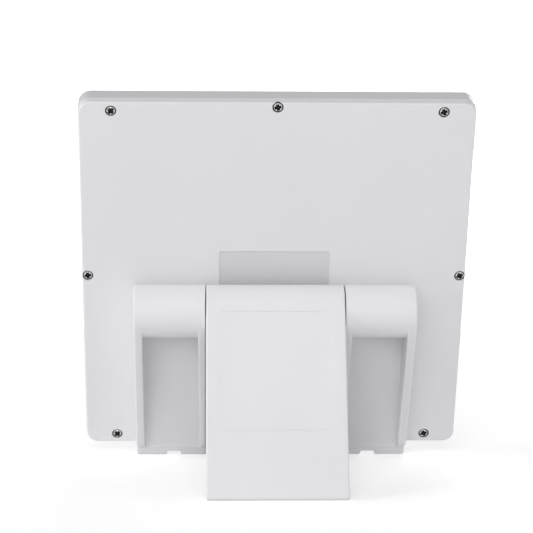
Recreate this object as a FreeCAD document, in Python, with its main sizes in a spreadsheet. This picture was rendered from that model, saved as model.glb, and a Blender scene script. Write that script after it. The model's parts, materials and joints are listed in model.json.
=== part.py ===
import FreeCAD, Part
import math
import os

import Sketcher
from FreeCAD import Placement, Rotation, Vector

# Light therapy lamp: a thin square light panel that leans back on a fold-out stand.
#
# Two channel-shaped legs are fixed to the panel's back. Each carries half of the hinge,
# a barrel, and between the barrels a wide prop swings out on a steel pin. Everything on
# the panel is drawn in the panel's own frame: X across, Y up along the panel and Z out of
# its back face, with the origin in the middle of that face. The prop is drawn about its
# hinge axis. Placements then lean the panel back and swing the prop out, so that the lamp
# stands on z = 0 with the light facing +Y.
#
# Lengths are millimetres and angles are degrees.

SIZES = [
    # The light panel
    ("panel_width", 190.0, "outer width of the panel"),
    ("panel_height", 190.0, "outer height of the panel"),
    ("panel_depth", 14.0, "front of the bezel to the back of the cover"),
    ("corner_radius", 6.0, "panel's corners, seen from the back"),
    ("shell_wall", 1.8, "side walls of the frame and the cover"),
    ("cover_rim", 4.2, "depth of the cover's side band"),
    ("cover_plate", 2.0, "thickness of the cover's flat back"),
    ("cover_round", 0.9, "rounding of the cover's back edge"),
    ("seam", 0.15, "open joint between frame and cover"),
    ("bezel_width", 12.0, "border round the window"),
    ("bezel_plate", 1.5, "thickness of that border"),
    ("bezel_round", 1.2, "rounding of the frame's front edge"),
    ("window_radius", 3.0, "corners of the window"),
    ("lip_thickness", 1.0, "locating lips inside the frame's wall"),
    ("lip_reach", 1.6, "how far the lips stand past the cover's rim"),
    ("lip_length", 44.0, "length of each locating lip"),
    ("lip_centre", 42.0, "middle of a lip from the middle of its side"),
    ("cover_rib", 1.2, "width of the ribs that hold the stack"),
    ("outer_rib_gap", 2.6, "outer ribs to the control board"),
    ("lower_cross_rib", 24.0, "lower rib across, above the panel's middle"),
    ("upper_cross_rib", 63.0, "upper rib across, above the panel's middle"),
    # The optical stack
    ("sheet_radius", 1.5, "corners of the sheets"),
    ("diffuser_lap", 2.0, "diffuser beyond the window on each side"),
    ("diffuser_thickness", 1.2, "opal sheet"),
    ("guide_lap", 1.0, "light guide beyond the window"),
    ("guide_thickness", 2.5, "clear light guide"),
    ("reflector_thickness", 0.3, "white film behind the guide"),
    ("chip_gap", 0.2, "light guide to the lamps beside it"),
    ("chip_depth", 1.2, "height of a lamp above its strip"),
    ("chip_width", 1.6, "lamp across its strip"),
    ("chip_length", 3.2, "lamp along its strip"),
    ("chip_pitch", 12.0, "spacing of the lamps"),
    ("strip_thickness", 1.0, "circuit strip"),
    ("strip_height", 3.8, "width of a circuit strip"),
    ("rail_width", 1.0, "frame rib behind a strip"),
    # Cover screws
    ("screw_head", 4.4, "head diameter"),
    ("screw_head_height", 1.0, "head height"),
    ("screw_head_bevel", 0.3, "bevel of the head"),
    ("screw_shank", 2.0, "shank diameter"),
    ("screw_length", 6.0, "length under the head"),
    ("recess_gap", 0.5, "round each screw head"),
    ("recess_depth", 1.15, "depth of the sunk seats"),
    ("hole_gap", 0.1, "round a shank"),
    ("cross_length", 2.9, "driver cross, point to point"),
    ("cross_width", 0.8, "width of the driver cross"),
    ("cross_depth", 0.6, "depth of the driver cross"),
    ("boss_wall", 1.2, "wall round a screw hole"),
    ("corner_screw_side", 15.9, "corner screw from the panel's side"),
    ("corner_screw_edge", 5.1, "corner screw from the top or bottom edge"),
    ("middle_screw_edge", 3.0, "middle screws from their edge"),
    ("side_screw_rise", 2.1, "side screws above the middle"),
    # Rating label
    ("label_width", 54.0, "bare silver label"),
    ("label_height", 20.0, "its height"),
    ("label_thickness", 0.2, "its thickness"),
    ("label_radius", 0.6, "its corners"),
    ("label_top", 15.3, "its upper edge above the panel's middle"),
    # Control board, socket and button
    ("board_width", 20.0, "control board across"),
    ("board_length", 60.0, "control board along the panel's side"),
    ("board_thickness", 0.8, "control board"),
    ("board_side", 4.0, "board from the panel's side"),
    ("board_bottom", 15.0, "board from the panel's bottom edge"),
    ("post_height", 3.6, "board above the cover's plate"),
    ("post_edge", 10.0, "posts from the board's ends"),
    ("post_diameter", 3.4, "posts under the board"),
    ("peg_diameter", 1.4, "pegs through the board"),
    ("socket_height", 29.0, "middle of the power socket above the bottom edge"),
    ("socket_width", 7.6, "metal shell of the socket"),
    ("socket_thickness", 2.6, "height of that shell"),
    ("socket_depth", 6.4, "length of that shell"),
    ("socket_corner", 0.7, "corners of that shell"),
    ("socket_wall", 0.35, "sheet metal of that shell"),
    ("socket_inset", 0.4, "mouth of the socket behind the panel's side"),
    ("socket_gap", 0.2, "round the socket"),
    ("button_height", 57.0, "middle of the button above the bottom edge"),
    ("button_length", 9.0, "button along the panel's side"),
    ("button_thickness", 3.2, "button across the panel's side"),
    ("button_corner", 1.1, "corners of the button"),
    ("button_bevel", 0.3, "bevel round the button's face"),
    ("button_gap", 0.3, "round the button"),
    ("button_proud", 0.5, "button beyond the panel's side"),
    ("button_flange", 0.8, "flange that keeps the button in"),
    ("button_lap", 1.1, "flange past the button on each side"),
    ("button_back", 0.4, "flange behind the wall at rest"),
    ("button_travel", 0.3, "stroke of the button"),
    ("switch_length", 6.0, "tactile switch along the board"),
    ("switch_depth", 3.4, "tactile switch across the board"),
    ("switch_thickness", 1.8, "tactile switch above the board"),
    ("plunger_length", 0.5, "plunger of the switch"),
    ("plunger_width", 2.0, "plunger along the board"),
    ("plunger_height", 0.9, "plunger above the board"),
    ("driver_size", 5.0, "driver chip"),
    ("driver_place", 30.0, "driver chip from the board's lower end"),
    ("coil_size", 6.0, "coil"),
    ("coil_corner", 1.5, "corners of the coil"),
    ("coil_place", 41.0, "coil from the board's lower end"),
    ("capacitor_length", 3.2, "capacitors across the board"),
    ("capacitor_width", 1.6, "capacitors along the board"),
    ("capacitor_spread", 6.0, "one capacitor from the other"),
    ("capacitor_place", 21.5, "capacitors from the board's lower end"),
    ("connector_width", 12.0, "connector of the leads"),
    ("connector_length", 4.0, "connector along the board"),
    ("connector_edge", 1.0, "connector from the board's lower end"),
    ("part_room", 0.3, "tallest part of the board to the cover's plate"),
    ("low_part", 0.7, "low parts' height as a share of the coil's"),
    ("tongue_share", 0.7, "contact tongue's width as a share of the mouth's"),
    ("tongue_height", 0.7, "thickness of the contact tongue"),
    ("tongue_inset", 1.0, "tongue behind the socket's mouth"),
    ("lead_diameter", 1.2, "leads to the lamp strips"),
    ("lead_bend", 0.9, "bends of the leads"),
    ("lead_spread", 5.0, "one lead from the other at the connector"),
    ("lead_drop", 2.2, "leads' run below the lamp strips"),
    # Hinge and legs
    ("hinge_height", 84.5, "hinge axis above the panel's bottom edge"),
    ("hinge_offset", 13.3, "hinge axis from the panel's back"),
    ("barrel_radius", 13.0, "barrels and the knuckle between them"),
    ("barrel_round", 0.9, "outer edges of the barrels"),
    ("stand_side", 26.0, "a leg from the panel's side"),
    ("prop_width", 67.6, "prop and its knuckle"),
    ("prop_gap", 0.8, "prop to the barrels and legs"),
    ("leg_reach", 6.5, "legs below the panel's bottom edge"),
    ("leg_floor", 2.0, "floor of the channel"),
    ("outer_wall", 3.7, "outer side wall of a leg"),
    ("inner_wall", 3.0, "side wall beside the prop"),
    ("wall_round", 0.8, "edges of the side walls"),
    ("trough_round", 0.9, "corners inside the channel"),
    ("base_rise", 6.0, "leg's base above the hinge axis"),
    ("flange_width", 3.7, "base of a leg under the folded prop"),
    ("toe_height", 3.0, "low lip at the foot"),
    ("toe_depth", 3.9, "thickness of that lip"),
    ("toe_landing", 1.2, "foot of the side walls' drop on the lip"),
    ("toe_run", 11.5, "where the side walls start to drop"),
    ("toe_round", 8.0, "curve of the side walls' drop"),
    ("toe_sweep", 4.0, "curve of the floor up to the lip"),
    ("foot_corner", 1.2, "outer corner of the foot"),
    ("notch_width", 8.4, "notch in the lip, at the foot"),
    ("notch_top", 6.4, "notch in the lip, at its end"),
    ("notch_depth", 2.0, "notch in the lip"),
    ("notch_centre", 49.9, "notch from the panel's middle"),
    ("peg_size", 3.5, "locating pegs under a leg"),
    ("peg_reach", 2.6, "length of those pegs"),
    ("lower_peg", 21.0, "lower peg from the foot"),
    ("upper_peg", 47.0, "upper peg from the foot"),
    ("stand_screw_head", 4.5, "stand screws' heads"),
    ("stand_screw_head_height", 1.4, "height of those heads"),
    ("stand_screw_shank", 2.2, "stand screws' shanks"),
    ("stand_screw_length", 8.0, "length of those shanks"),
    ("stand_screw_spread", 8.0, "stand screws from the middle of a barrel"),
    ("pin_diameter", 4.0, "steel hinge pin"),
    ("pin_fit", 0.02, "round the pin in the barrels"),
    ("pin_running", 0.05, "round the pin in the knuckle"),
    ("cap_diameter", 10.0, "caps over the pin's ends"),
    ("cap_depth", 2.0, "thickness of those caps"),
    ("cap_gap", 0.1, "round those caps"),
    ("cap_bevel", 0.5, "bevel of those caps"),
    ("pin_end_gap", 0.3, "pin's ends to the caps"),
    ("washer_diameter", 9.5, "friction washers beside the knuckle"),
    ("washer_thickness", 0.5, "friction washers"),
    ("washer_gap", 0.1, "round the pin in the washers"),
    # Prop
    ("prop_thickness", 5.0, "depth of the prop's side walls"),
    ("prop_skin", 2.2, "prop's outer skin"),
    ("prop_wall", 2.2, "prop's side and end walls"),
    ("prop_rib", 1.4, "ribs under the skin"),
    ("long_rib_spread", 22.5, "one long rib from the other"),
    ("prop_round", 0.8, "side edges of the prop and its knuckle"),
    ("neck_round", 3.0, "prop's underside into its knuckle"),
    ("prop_tip_round", 1.6, "lower edge of the prop"),
    ("knuckle_blend", 4.0, "prop's inside below the knuckle"),
    ("field_inset", 5.3, "shallow field from the prop's sides"),
    ("field_start", 4.0, "shallow field below the hinge axis"),
    ("field_length", 59.7, "length of the shallow field"),
    ("field_depth", 0.4, "depth of the shallow field"),
    ("field_radius", 1.6, "corners of the shallow field"),
    ("stop_reach", 7.5, "stop lugs out from the axis"),
    ("stop_height", 5.0, "depth of the stop lugs"),
    ("stop_width", 4.0, "width of the stop lugs"),
    ("stop_inset", 1.3, "stop lugs from the knuckle's ends"),
    # Angles
    ("lean_angle", 19.4, "panel from the vertical"),
    ("open_angle", 46.0, "prop from the panel when it stands"),
    ("taper_angle", 11.5, "legs' rims to the panel, and the prop when folded"),
]

doc = FreeCAD.newDocument("light_therapy_lamp")
sheet = doc.addObject("Spreadsheet::Sheet", "sizes")
for row, (alias, number, note) in enumerate(SIZES, start=1):
    sheet.set(f"A{row}", alias)
    sheet.set(f"B{row}", str(number))
    sheet.setAlias(f"B{row}", alias)
    sheet.set(f"C{row}", note)
doc.recompute()


# ---------------------------------------------------------------- sizes that know their formula

class Size:
    """A number together with the spreadsheet formula that gives it."""

    def __init__(self, value, formula):
        self.value = value
        self.formula = formula

    def __add__(self, other):
        return joined(self, "+", other)

    def __radd__(self, other):
        return joined(other, "+", self)

    def __sub__(self, other):
        return joined(self, "-", other)

    def __rsub__(self, other):
        return joined(other, "-", self)

    def __mul__(self, other):
        return joined(self, "*", other)

    def __rmul__(self, other):
        return joined(other, "*", self)

    def __truediv__(self, other):
        return joined(self, "/", other)

    def __neg__(self):
        return joined(0, "-", self)


def as_size(number):
    return number if isinstance(number, Size) else Size(float(number), f"({number:g})")


def joined(left, sign, right):
    left = as_size(left)
    right = as_size(right)
    results = {"+": left.value + right.value, "-": left.value - right.value, "*": left.value * right.value}
    if sign == "/":
        results["/"] = left.value / right.value
    return Size(results[sign], f"({left.formula} {sign} {right.formula})")


def sin(angle):
    return Size(math.sin(math.radians(angle.value)), f"sin({angle.formula})")


def cos(angle):
    return Size(math.cos(math.radians(angle.value)), f"cos({angle.formula})")


def tan(angle):
    return sin(angle) / cos(angle)


def root(size):
    return Size(math.sqrt(size.value), f"sqrt({size.formula})")


class SizeBook:
    """Gives each alias of the spreadsheet as a Size."""

    def __getattr__(self, alias):
        return Size(float(sheet.get(alias)), f"sizes.{alias}")


d = SizeBook()


# ---------------------------------------------------------------- sketches and features

class Drawing:
    """Collects the lines and dimensions of one sketch, then hands them over together."""

    def __init__(self, sketch):
        self.sketch = sketch
        self.shapes = []
        self.rules = []
        self.formulas = {}

    def add(self, shape):
        self.shapes.append(shape)
        return len(self.shapes) - 1

    def rule(self, *terms, size=None):
        if size is None:
            self.rules.append(Sketcher.Constraint(*terms))
            return
        size = as_size(size)
        self.formulas[len(self.rules)] = size.formula
        self.rules.append(Sketcher.Constraint(*terms, size.value))

    def pin_point(self, shape, point, x, y):
        self.rule("DistanceX", -1, 1, shape, point, size=x)
        self.rule("DistanceY", -1, 1, shape, point, size=y)

    def finish(self):
        self.sketch.addGeometry(self.shapes)
        self.sketch.addConstraint(self.rules)
        for number, formula in self.formulas.items():
            self.sketch.setExpression(f"Constraints[{number}]", formula)


def point_at(x, y):
    return Vector(as_size(x).value, as_size(y).value, 0)


def polygon(*corners):
    """A closed outline of straight lines through the given corners."""
    def draw(drawing):
        points = [point_at(x, y) for x, y in corners]
        lines = [drawing.add(Part.LineSegment(a, b)) for a, b in zip(points, points[1:] + points[:1])]
        for line, following in zip(lines, lines[1:] + lines[:1]):
            drawing.rule("Coincident", line, 2, following, 1)
        for line, (x, y) in zip(lines, corners):
            drawing.pin_point(line, 1, x, y)
    return draw


class Turn:
    """A counter-clockwise arc in a profile: where it ends, its radius and its centre."""

    def __init__(self, x, y, radius, centre):
        self.end = (x, y)
        self.radius = radius
        self.centre = centre


def profile(*steps):
    """A closed outline of straight lines and Turns, each from the end of the one before."""
    def draw(drawing):
        corners = [step.end if isinstance(step, Turn) else step for step in steps]
        for number, step in enumerate(steps):
            before, after = corners[number - 1], corners[number]
            if isinstance(step, Turn):
                middle = point_at(*step.centre)
                angles = [math.atan2(*reversed((point_at(*corner) - middle)[:2])) for corner in (before, after)]
                full = Part.Circle(middle, Vector(0, 0, 1), as_size(step.radius).value)
                turn = (angles[1] - angles[0]) % (2 * math.pi)
                drawing.add(Part.ArcOfCircle(full, angles[0], angles[0] + turn))
                drawing.rule("Radius", number, size=step.radius)
            else:
                drawing.add(Part.LineSegment(point_at(*before), point_at(*after)))
        for number, step in enumerate(steps):
            drawing.rule("Coincident", number, 2, (number + 1) % len(steps), 1)
            drawing.pin_point(number, 2, *corners[number])
    return draw


def rectangle(x0, x1, y0, y1):
    return polygon((x0, y0), (x1, y0), (x1, y1), (x0, y1))


def centred(width, height, x=0, y=0):
    return rectangle(x - width / 2, x + width / 2, y - height / 2, y + height / 2)


def rounded(width, height, radius, x=0, y=0):
    """A rectangle about (x, y) whose corners are arcs."""
    left, right = x - width / 2, x + width / 2
    low, high = y - height / 2, y + height / 2
    sides = [
        ((left + radius, low), (right - radius, low)),
        ((right, low + radius), (right, high - radius)),
        ((right - radius, high), (left + radius, high)),
        ((left, high - radius), (left, low + radius)),
    ]
    middles = [
        (right - radius, low + radius),
        (right - radius, high - radius),
        (left + radius, high - radius),
        (left + radius, low + radius),
    ]

    def draw(drawing):
        lines = []
        for start, end in sides:
            line = drawing.add(Part.LineSegment(point_at(*start), point_at(*end)))
            drawing.pin_point(line, 1, *start)
            drawing.pin_point(line, 2, *end)
            lines.append(line)
        for turn, middle in enumerate(middles):
            start_angle = (turn - 1) * math.pi / 2
            full = Part.Circle(point_at(*middle), Vector(0, 0, 1), as_size(radius).value)
            arc = drawing.add(Part.ArcOfCircle(full, start_angle, start_angle + math.pi / 2))
            drawing.rule("Coincident", arc, 1, lines[turn], 2)
            drawing.rule("Coincident", arc, 2, lines[(turn + 1) % 4], 1)
            drawing.rule("Radius", arc, size=radius)
    return draw


def circle(diameter, x=0, y=0):
    def draw(drawing):
        full = drawing.add(Part.Circle(point_at(x, y), Vector(0, 0, 1), as_size(diameter).value / 2))
        drawing.pin_point(full, 3, x, y)
        drawing.rule("Diameter", full, size=diameter)
    return draw


def new_body(name):
    body = doc.addObject("PartDesign::Body", name)
    body.Label = name
    return body


def extrude(body, kind, name, plane, start, end, outlines):
    """Extrudes outlines drawn on an origin plane, from start to end along its normal."""
    start = as_size(start)
    before = body.Shape.Volume if body.Tip else 0.0
    sketch = body.newObject("Sketcher::SketchObject", f"{body.Name}_{name}_outline")
    support = next(datum for datum in body.Origin.OriginFeatures if datum.Role == plane)
    sketch.AttachmentSupport = [(support, "")]
    sketch.MapMode = "FlatFace"
    sketch.AttachmentOffset = Placement(Vector(0, 0, start.value), Rotation())
    sketch.setExpression("AttachmentOffset.Base.z", start.formula)
    drawing = Drawing(sketch)
    for outline in outlines:
        outline(drawing)
    drawing.finish()
    feature = body.newObject(f"PartDesign::{kind}", f"{body.Name}_{name}")
    feature.Profile = sketch
    length = end - start
    feature.Length = length.value
    feature.setExpression("Length", length.formula)
    feature.Reversed = kind == "Pocket"
    doc.recompute()
    change = body.Shape.Volume - before
    if (change > 0) != (kind == "Pad") or abs(change) < 1e-6:
        raise RuntimeError(f"{body.Name}: {name} changed the volume by {change:.3f}")
    return feature


def grow(body, name, plane, start, end, *outlines):
    return extrude(body, "Pad", name, plane, start, end, outlines)


def cut(body, name, plane, start, end, *outlines):
    return extrude(body, "Pocket", name, plane, start, end, outlines)


def soften(body, kind, measure, name, size, chosen):
    """Softens the edges of the body's last feature that the test chooses."""
    base = body.Tip
    names = [f"Edge{n}" for n, edge in enumerate(base.Shape.Edges, start=1) if chosen(edge)]
    if not names:
        raise RuntimeError(f"{body.Name}: {name} found no edge")
    feature = body.newObject(f"PartDesign::{kind}", f"{body.Name}_{name}")
    feature.Base = (base, names)
    setattr(feature, measure, size.value)
    feature.setExpression(measure, size.formula)
    doc.recompute()
    if not feature.isValid():
        raise RuntimeError(f"{body.Name}: {name} could not be made")


def round_edges(body, name, radius, chosen):
    soften(body, "Fillet", "Radius", name, radius, chosen)


def bevel_edges(body, name, width, chosen):
    soften(body, "Chamfer", "Size", name, width, chosen)


def lies_at(edge, x=None, y=None, z=None, slack=0.01):
    """True where the whole edge lies at the given coordinates."""
    box = edge.BoundBox
    spans = [(x, box.XMin, box.XMax), (y, box.YMin, box.YMax), (z, box.ZMin, box.ZMax)]
    for wanted, low, high in spans:
        if wanted is None:
            continue
        value = as_size(wanted).value
        if abs(low - value) > slack or abs(high - value) > slack:
            return False
    return True


def runs_along(edge, direction):
    """True for a straight edge parallel to the given direction."""
    if edge.Curve.TypeId != "Part::GeomLine":
        return False
    return edge.Curve.Direction.cross(direction).Length < 1e-4


ALONG_Y = Vector(0, 1, 0)


# ---------------------------------------------------------------- shared places

half_width = d.panel_width / 2
half_height = d.panel_height / 2
inside_width = d.panel_width - 2 * d.shell_wall
inside_height = d.panel_height - 2 * d.shell_wall
window_width = d.panel_width - 2 * d.bezel_width
window_height = d.panel_height - 2 * d.bezel_width

bezel_back = -d.panel_depth + d.bezel_plate
diffuser_back = bezel_back + d.diffuser_thickness
guide_back = diffuser_back + d.guide_thickness
reflector_back = guide_back + d.reflector_thickness

guide_width = window_width + 2 * d.guide_lap
guide_height = window_height + 2 * d.guide_lap
chip_start = guide_width / 2 + d.chip_gap
strip_start = chip_start + d.chip_depth
strip_end = strip_start + d.strip_thickness
strip_back = bezel_back + d.strip_height

recess_diameter = d.screw_head + 2 * d.recess_gap
hole_diameter = d.screw_shank + 2 * d.hole_gap
boss_diameter = hole_diameter + 2 * d.boss_wall
screw_seat = -d.recess_depth

corner_x = half_width - d.corner_screw_side
corner_y = half_height - d.corner_screw_edge
screw_points = [
    (-corner_x, corner_y),
    (0, half_height - d.middle_screw_edge),
    (corner_x, corner_y),
    (-half_width + d.middle_screw_edge, d.side_screw_rise),
    (half_width - d.middle_screw_edge, d.side_screw_rise),
    (-corner_x, -corner_y),
    (0, -half_height + d.middle_screw_edge),
    (corner_x, -corner_y),
]

board_high_x = half_width - d.board_side
board_low_x = board_high_x - d.board_width
board_low_y = -half_height + d.board_bottom
board_high_y = board_low_y + d.board_length
board_back = -d.cover_plate - d.post_height
board_front = board_back - d.board_thickness
post_points = [
    (board_low_x + d.post_diameter, board_low_y + d.post_edge),
    (board_low_x + d.post_diameter, board_high_y - d.post_edge),
]

socket_y = -half_height + d.socket_height
socket_z = board_front - d.socket_thickness / 2
socket_mouth = half_width - d.socket_inset
socket_start = socket_mouth - d.socket_depth

button_y = -half_height + d.button_height
button_z = board_front - d.switch_thickness / 2
button_face = half_width + d.button_proud
flange_outer = half_width - d.shell_wall - d.button_back
flange_inner = flange_outer - d.button_flange
plunger_tip = flange_inner - d.button_travel - d.button_gap
switch_front = plunger_tip - d.plunger_length

hinge_y = -half_height + d.hinge_height
hinge_z = d.hinge_offset
leg_near = d.prop_width / 2 + d.prop_gap
leg_far = half_width - d.stand_side
trough_near = leg_near + d.inner_wall
trough_far = leg_far - d.outer_wall
foot_y = -half_height - d.leg_reach
foot_slope = tan(d.lean_angle)
barrel_middle = (leg_near + leg_far) / 2
stand_screw_points = [
    (side * (barrel_middle + step * d.stand_screw_spread), hinge_y)
    for side in (-1, 1)
    for step in (-1, 1)
]
peg_points = {
    side: [(side * d.notch_centre, foot_y + rise) for rise in (d.lower_peg, d.upper_peg)]
    for side in (-1, 1)
}
peg_hole = d.peg_size + 2 * d.hole_gap

swing = d.open_angle - d.lean_angle
hinge_rise = (d.hinge_height + d.leg_reach) * cos(d.lean_angle) - d.hinge_offset * sin(d.lean_angle)
prop_length = (hinge_rise + d.barrel_radius * sin(swing)) / cos(swing)
prop_tip_inset = d.prop_thickness * tan(swing)


def span(side, near, far):
    """The X range of something on the left (-1) or right (+1), from its near and far faces."""
    return (near, far) if side > 0 else (-far, -near)


def rim_height(y):
    """Height of a leg's rim above the panel: a line that touches the barrel."""
    slope = (y - hinge_y) * sin(d.taper_angle)
    return hinge_z + (d.barrel_radius + slope) / cos(d.taper_angle)


# ---------------------------------------------------------------- the shell of the panel

def make_back_cover():
    """A shallow tray: flat back, side band, lips, screw seats and ribs."""
    body = new_body("back_cover")
    grow(body, "tray", "XY_Plane", -d.cover_rim, 0, rounded(d.panel_width, d.panel_height, d.corner_radius))
    round_edges(body, "back_edge", d.cover_round, lambda edge: lies_at(edge, z=0))
    inner_radius = d.corner_radius - d.shell_wall
    inside = rounded(inside_width, inside_height, inner_radius)
    cut(body, "inside", "XY_Plane", -d.cover_rim, -d.cover_plate, inside)
    seats = [circle(boss_diameter, x, y) for x, y in screw_points]
    grow(body, "seats", "XY_Plane", -d.cover_rim, -d.cover_plate, *seats)
    lips_x = inside_width / 2 - d.seam - d.lip_thickness / 2
    lips_y = inside_height / 2 - d.seam - d.lip_thickness / 2
    lips = []
    for side in (-1, 1):
        for step in (-1, 1):
            lips.append(centred(d.lip_length, d.lip_thickness, step * d.lip_centre, side * lips_y))
        lips.append(centred(d.lip_thickness, d.lip_length, side * lips_x, d.lip_centre))
    lips.append(centred(d.lip_thickness, d.lip_length, -lips_x, -d.lip_centre))
    grow(body, "lips", "XY_Plane", -d.cover_rim - d.lip_reach, -d.cover_plate, *lips)
    rib_length = guide_height - 2 * d.bezel_width
    outer_rib = board_low_x - d.outer_rib_gap - d.cover_rib / 2
    rib_places = [-outer_rib, -d.label_width / 2, d.label_width / 2, outer_rib]
    ribs = [centred(d.cover_rib, rib_length, x, 0) for x in rib_places]
    grow(body, "ribs", "XY_Plane", reflector_back, -d.cover_plate, *ribs)
    cross_length = guide_width - 2 * d.bezel_width
    cross_ribs = [centred(cross_length, d.cover_rib, 0, y) for y in (d.lower_cross_rib, d.upper_cross_rib)]
    grow(body, "cross_ribs", "XY_Plane", reflector_back, -d.cover_plate, *cross_ribs)
    posts = [circle(d.post_diameter, x, y) for x, y in post_points]
    grow(body, "posts", "XY_Plane", board_back, -d.cover_plate, *posts)
    pegs = [circle(d.peg_diameter, x, y) for x, y in post_points]
    grow(body, "post_pegs", "XY_Plane", board_front - d.seam, board_back, *pegs)
    recesses = [circle(recess_diameter, x, y) for x, y in screw_points]
    cut(body, "recesses", "XY_Plane", screw_seat, 0, *recesses)
    holes = [circle(hole_diameter, x, y) for x, y in screw_points]
    cut(body, "holes", "XY_Plane", -d.cover_rim, screw_seat, *holes)
    stand_hole = d.stand_screw_shank + 2 * d.hole_gap
    stand_holes = [circle(stand_hole, x, y) for x, y in stand_screw_points]
    stand_holes += [circle(peg_hole, x, y) for side in (-1, 1) for x, y in peg_points[side]]
    cut(body, "stand_holes", "XY_Plane", -d.cover_plate, 0, *stand_holes)
    return body


def make_front_frame():
    """The side walls and the border round the window, with bosses and lamp rails."""
    body = new_body("front_frame")
    frame_top = -d.cover_rim - d.seam
    outer = rounded(d.panel_width, d.panel_height, d.corner_radius)
    grow(body, "block", "XY_Plane", -d.panel_depth, frame_top, outer)
    round_edges(body, "front_edge", d.bezel_round, lambda edge: lies_at(edge, z=-d.panel_depth))
    inside = rounded(inside_width, inside_height, d.corner_radius - d.shell_wall)
    cut(body, "inside", "XY_Plane", bezel_back, frame_top, inside)
    window = rounded(window_width, window_height, d.window_radius)
    cut(body, "window", "XY_Plane", -d.panel_depth, bezel_back, window)
    bosses = [circle(boss_diameter, x, y) for x, y in screw_points]
    grow(body, "bosses", "XY_Plane", bezel_back, -d.cover_rim, *bosses)
    pilots = [circle(hole_diameter, x, y) for x, y in screw_points]
    pilot_end = screw_seat - d.screw_length - d.hole_gap
    cut(body, "pilot_holes", "XY_Plane", pilot_end, -d.cover_rim, *pilots)
    rail_x = strip_end + d.rail_width / 2
    rails = [centred(d.rail_width, guide_height, side * rail_x, 0) for side in (-1, 1)]
    grow(body, "rails", "XY_Plane", bezel_back, strip_back, *rails)
    wall_start = half_width - d.shell_wall - d.seam
    wall_end = half_width + d.seam
    socket_slot = rounded(
        d.socket_width + 2 * d.socket_gap,
        d.socket_thickness + 2 * d.socket_gap,
        d.socket_corner + d.socket_gap,
        socket_y,
        socket_z,
    )
    cut(body, "socket_slot", "YZ_Plane", wall_start, wall_end, socket_slot)
    button_slot = rounded(
        d.button_length + 2 * d.button_gap,
        d.button_thickness + 2 * d.button_gap,
        d.button_corner + d.button_gap,
        button_y,
        button_z,
    )
    cut(body, "button_slot", "YZ_Plane", wall_start, wall_end, button_slot)
    return body


# ---------------------------------------------------------------- the optical stack

def make_sheet(name, width, height, front, back):
    body = new_body(name)
    grow(body, "sheet", "XY_Plane", front, back, rounded(width, height, d.sheet_radius))
    return body


def make_stack():
    """Diffuser, light guide and reflector, each lying on the one in front of it."""
    diffuser_width = window_width + 2 * d.diffuser_lap
    diffuser_height = window_height + 2 * d.diffuser_lap
    return [
        make_sheet("diffuser", diffuser_width, diffuser_height, bezel_back, diffuser_back),
        make_sheet("light_guide", guide_width, guide_height, diffuser_back, guide_back),
        make_sheet("reflector_sheet", guide_width, guide_height, guide_back, reflector_back),
    ]


def make_lamp_strip(side, word):
    """A circuit strip on edge beside the light guide, against the frame's rail."""
    body = new_body(f"led_strip_{word}")
    start, end = span(side, strip_start, strip_end)
    strip = rectangle(-guide_height / 2, guide_height / 2, bezel_back, strip_back)
    grow(body, "strip", "YZ_Plane", start, end, strip)
    return body


def make_chips(side, word):
    """The row of lamps on one strip, level with the light guide."""
    body = new_body(f"led_chips_{word}")
    start, end = span(side, chip_start, strip_start)
    level = (diffuser_back + guide_back) / 2
    count = int(guide_height.value // d.chip_pitch.value)
    chips = []
    for number in range(count):
        y = (number - (count - 1) / 2) * d.chip_pitch
        chips.append(centred(d.chip_length, d.chip_width, y, level))
    grow(body, "chips", "YZ_Plane", start, end, *chips)
    return body


# ---------------------------------------------------------------- board, socket and button

def make_control_board():
    body = new_body("control_board")
    outline = rectangle(board_low_x, board_high_x, board_low_y, board_high_y)
    grow(body, "board", "XY_Plane", board_front, board_back, outline)
    peg_holes = [circle(d.peg_diameter + 2 * d.hole_gap, x, y) for x, y in post_points]
    cut(body, "peg_holes", "XY_Plane", board_front, board_back, *peg_holes)
    return body


def make_board_parts():
    """Driver chip, coil, capacitors and the connector of the leads, on the board's back."""
    body = new_body("board_parts")
    middle_x = (board_low_x + board_high_x) / 2
    tall = board_back + d.post_height - d.part_room
    low = board_back + (d.post_height - d.part_room) * d.low_part
    driver = centred(d.driver_size, d.driver_size, middle_x, board_low_y + d.driver_place)
    grow(body, "driver_chip", "XY_Plane", board_back, low, driver)
    coil = rounded(d.coil_size, d.coil_size, d.coil_corner, middle_x, board_low_y + d.coil_place)
    grow(body, "coil", "XY_Plane", board_back, tall, coil)
    capacitor_y = board_low_y + d.capacitor_place
    capacitors = [
        centred(d.capacitor_length, d.capacitor_width, middle_x + side * d.capacitor_spread / 2, capacitor_y)
        for side in (-1, 1)
    ]
    grow(body, "capacitors", "XY_Plane", board_back, low, *capacitors)
    connector_y = board_low_y + d.connector_edge + d.connector_length / 2
    connector = centred(d.connector_width, d.connector_length, middle_x, connector_y)
    grow(body, "connector", "XY_Plane", board_back, tall, connector)
    return body


def make_brightness_switch():
    """A side-pressed switch on the board's front, behind the button."""
    body = new_body("brightness_switch")
    low_z = board_front - d.switch_thickness
    case = rectangle(button_y - d.switch_length / 2, button_y + d.switch_length / 2, low_z, board_front)
    grow(body, "case", "YZ_Plane", switch_front - d.switch_depth, switch_front, case)
    plunger = centred(d.plunger_width, d.plunger_height, button_y, button_z)
    grow(body, "plunger", "YZ_Plane", switch_front, plunger_tip, plunger)
    return body


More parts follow.
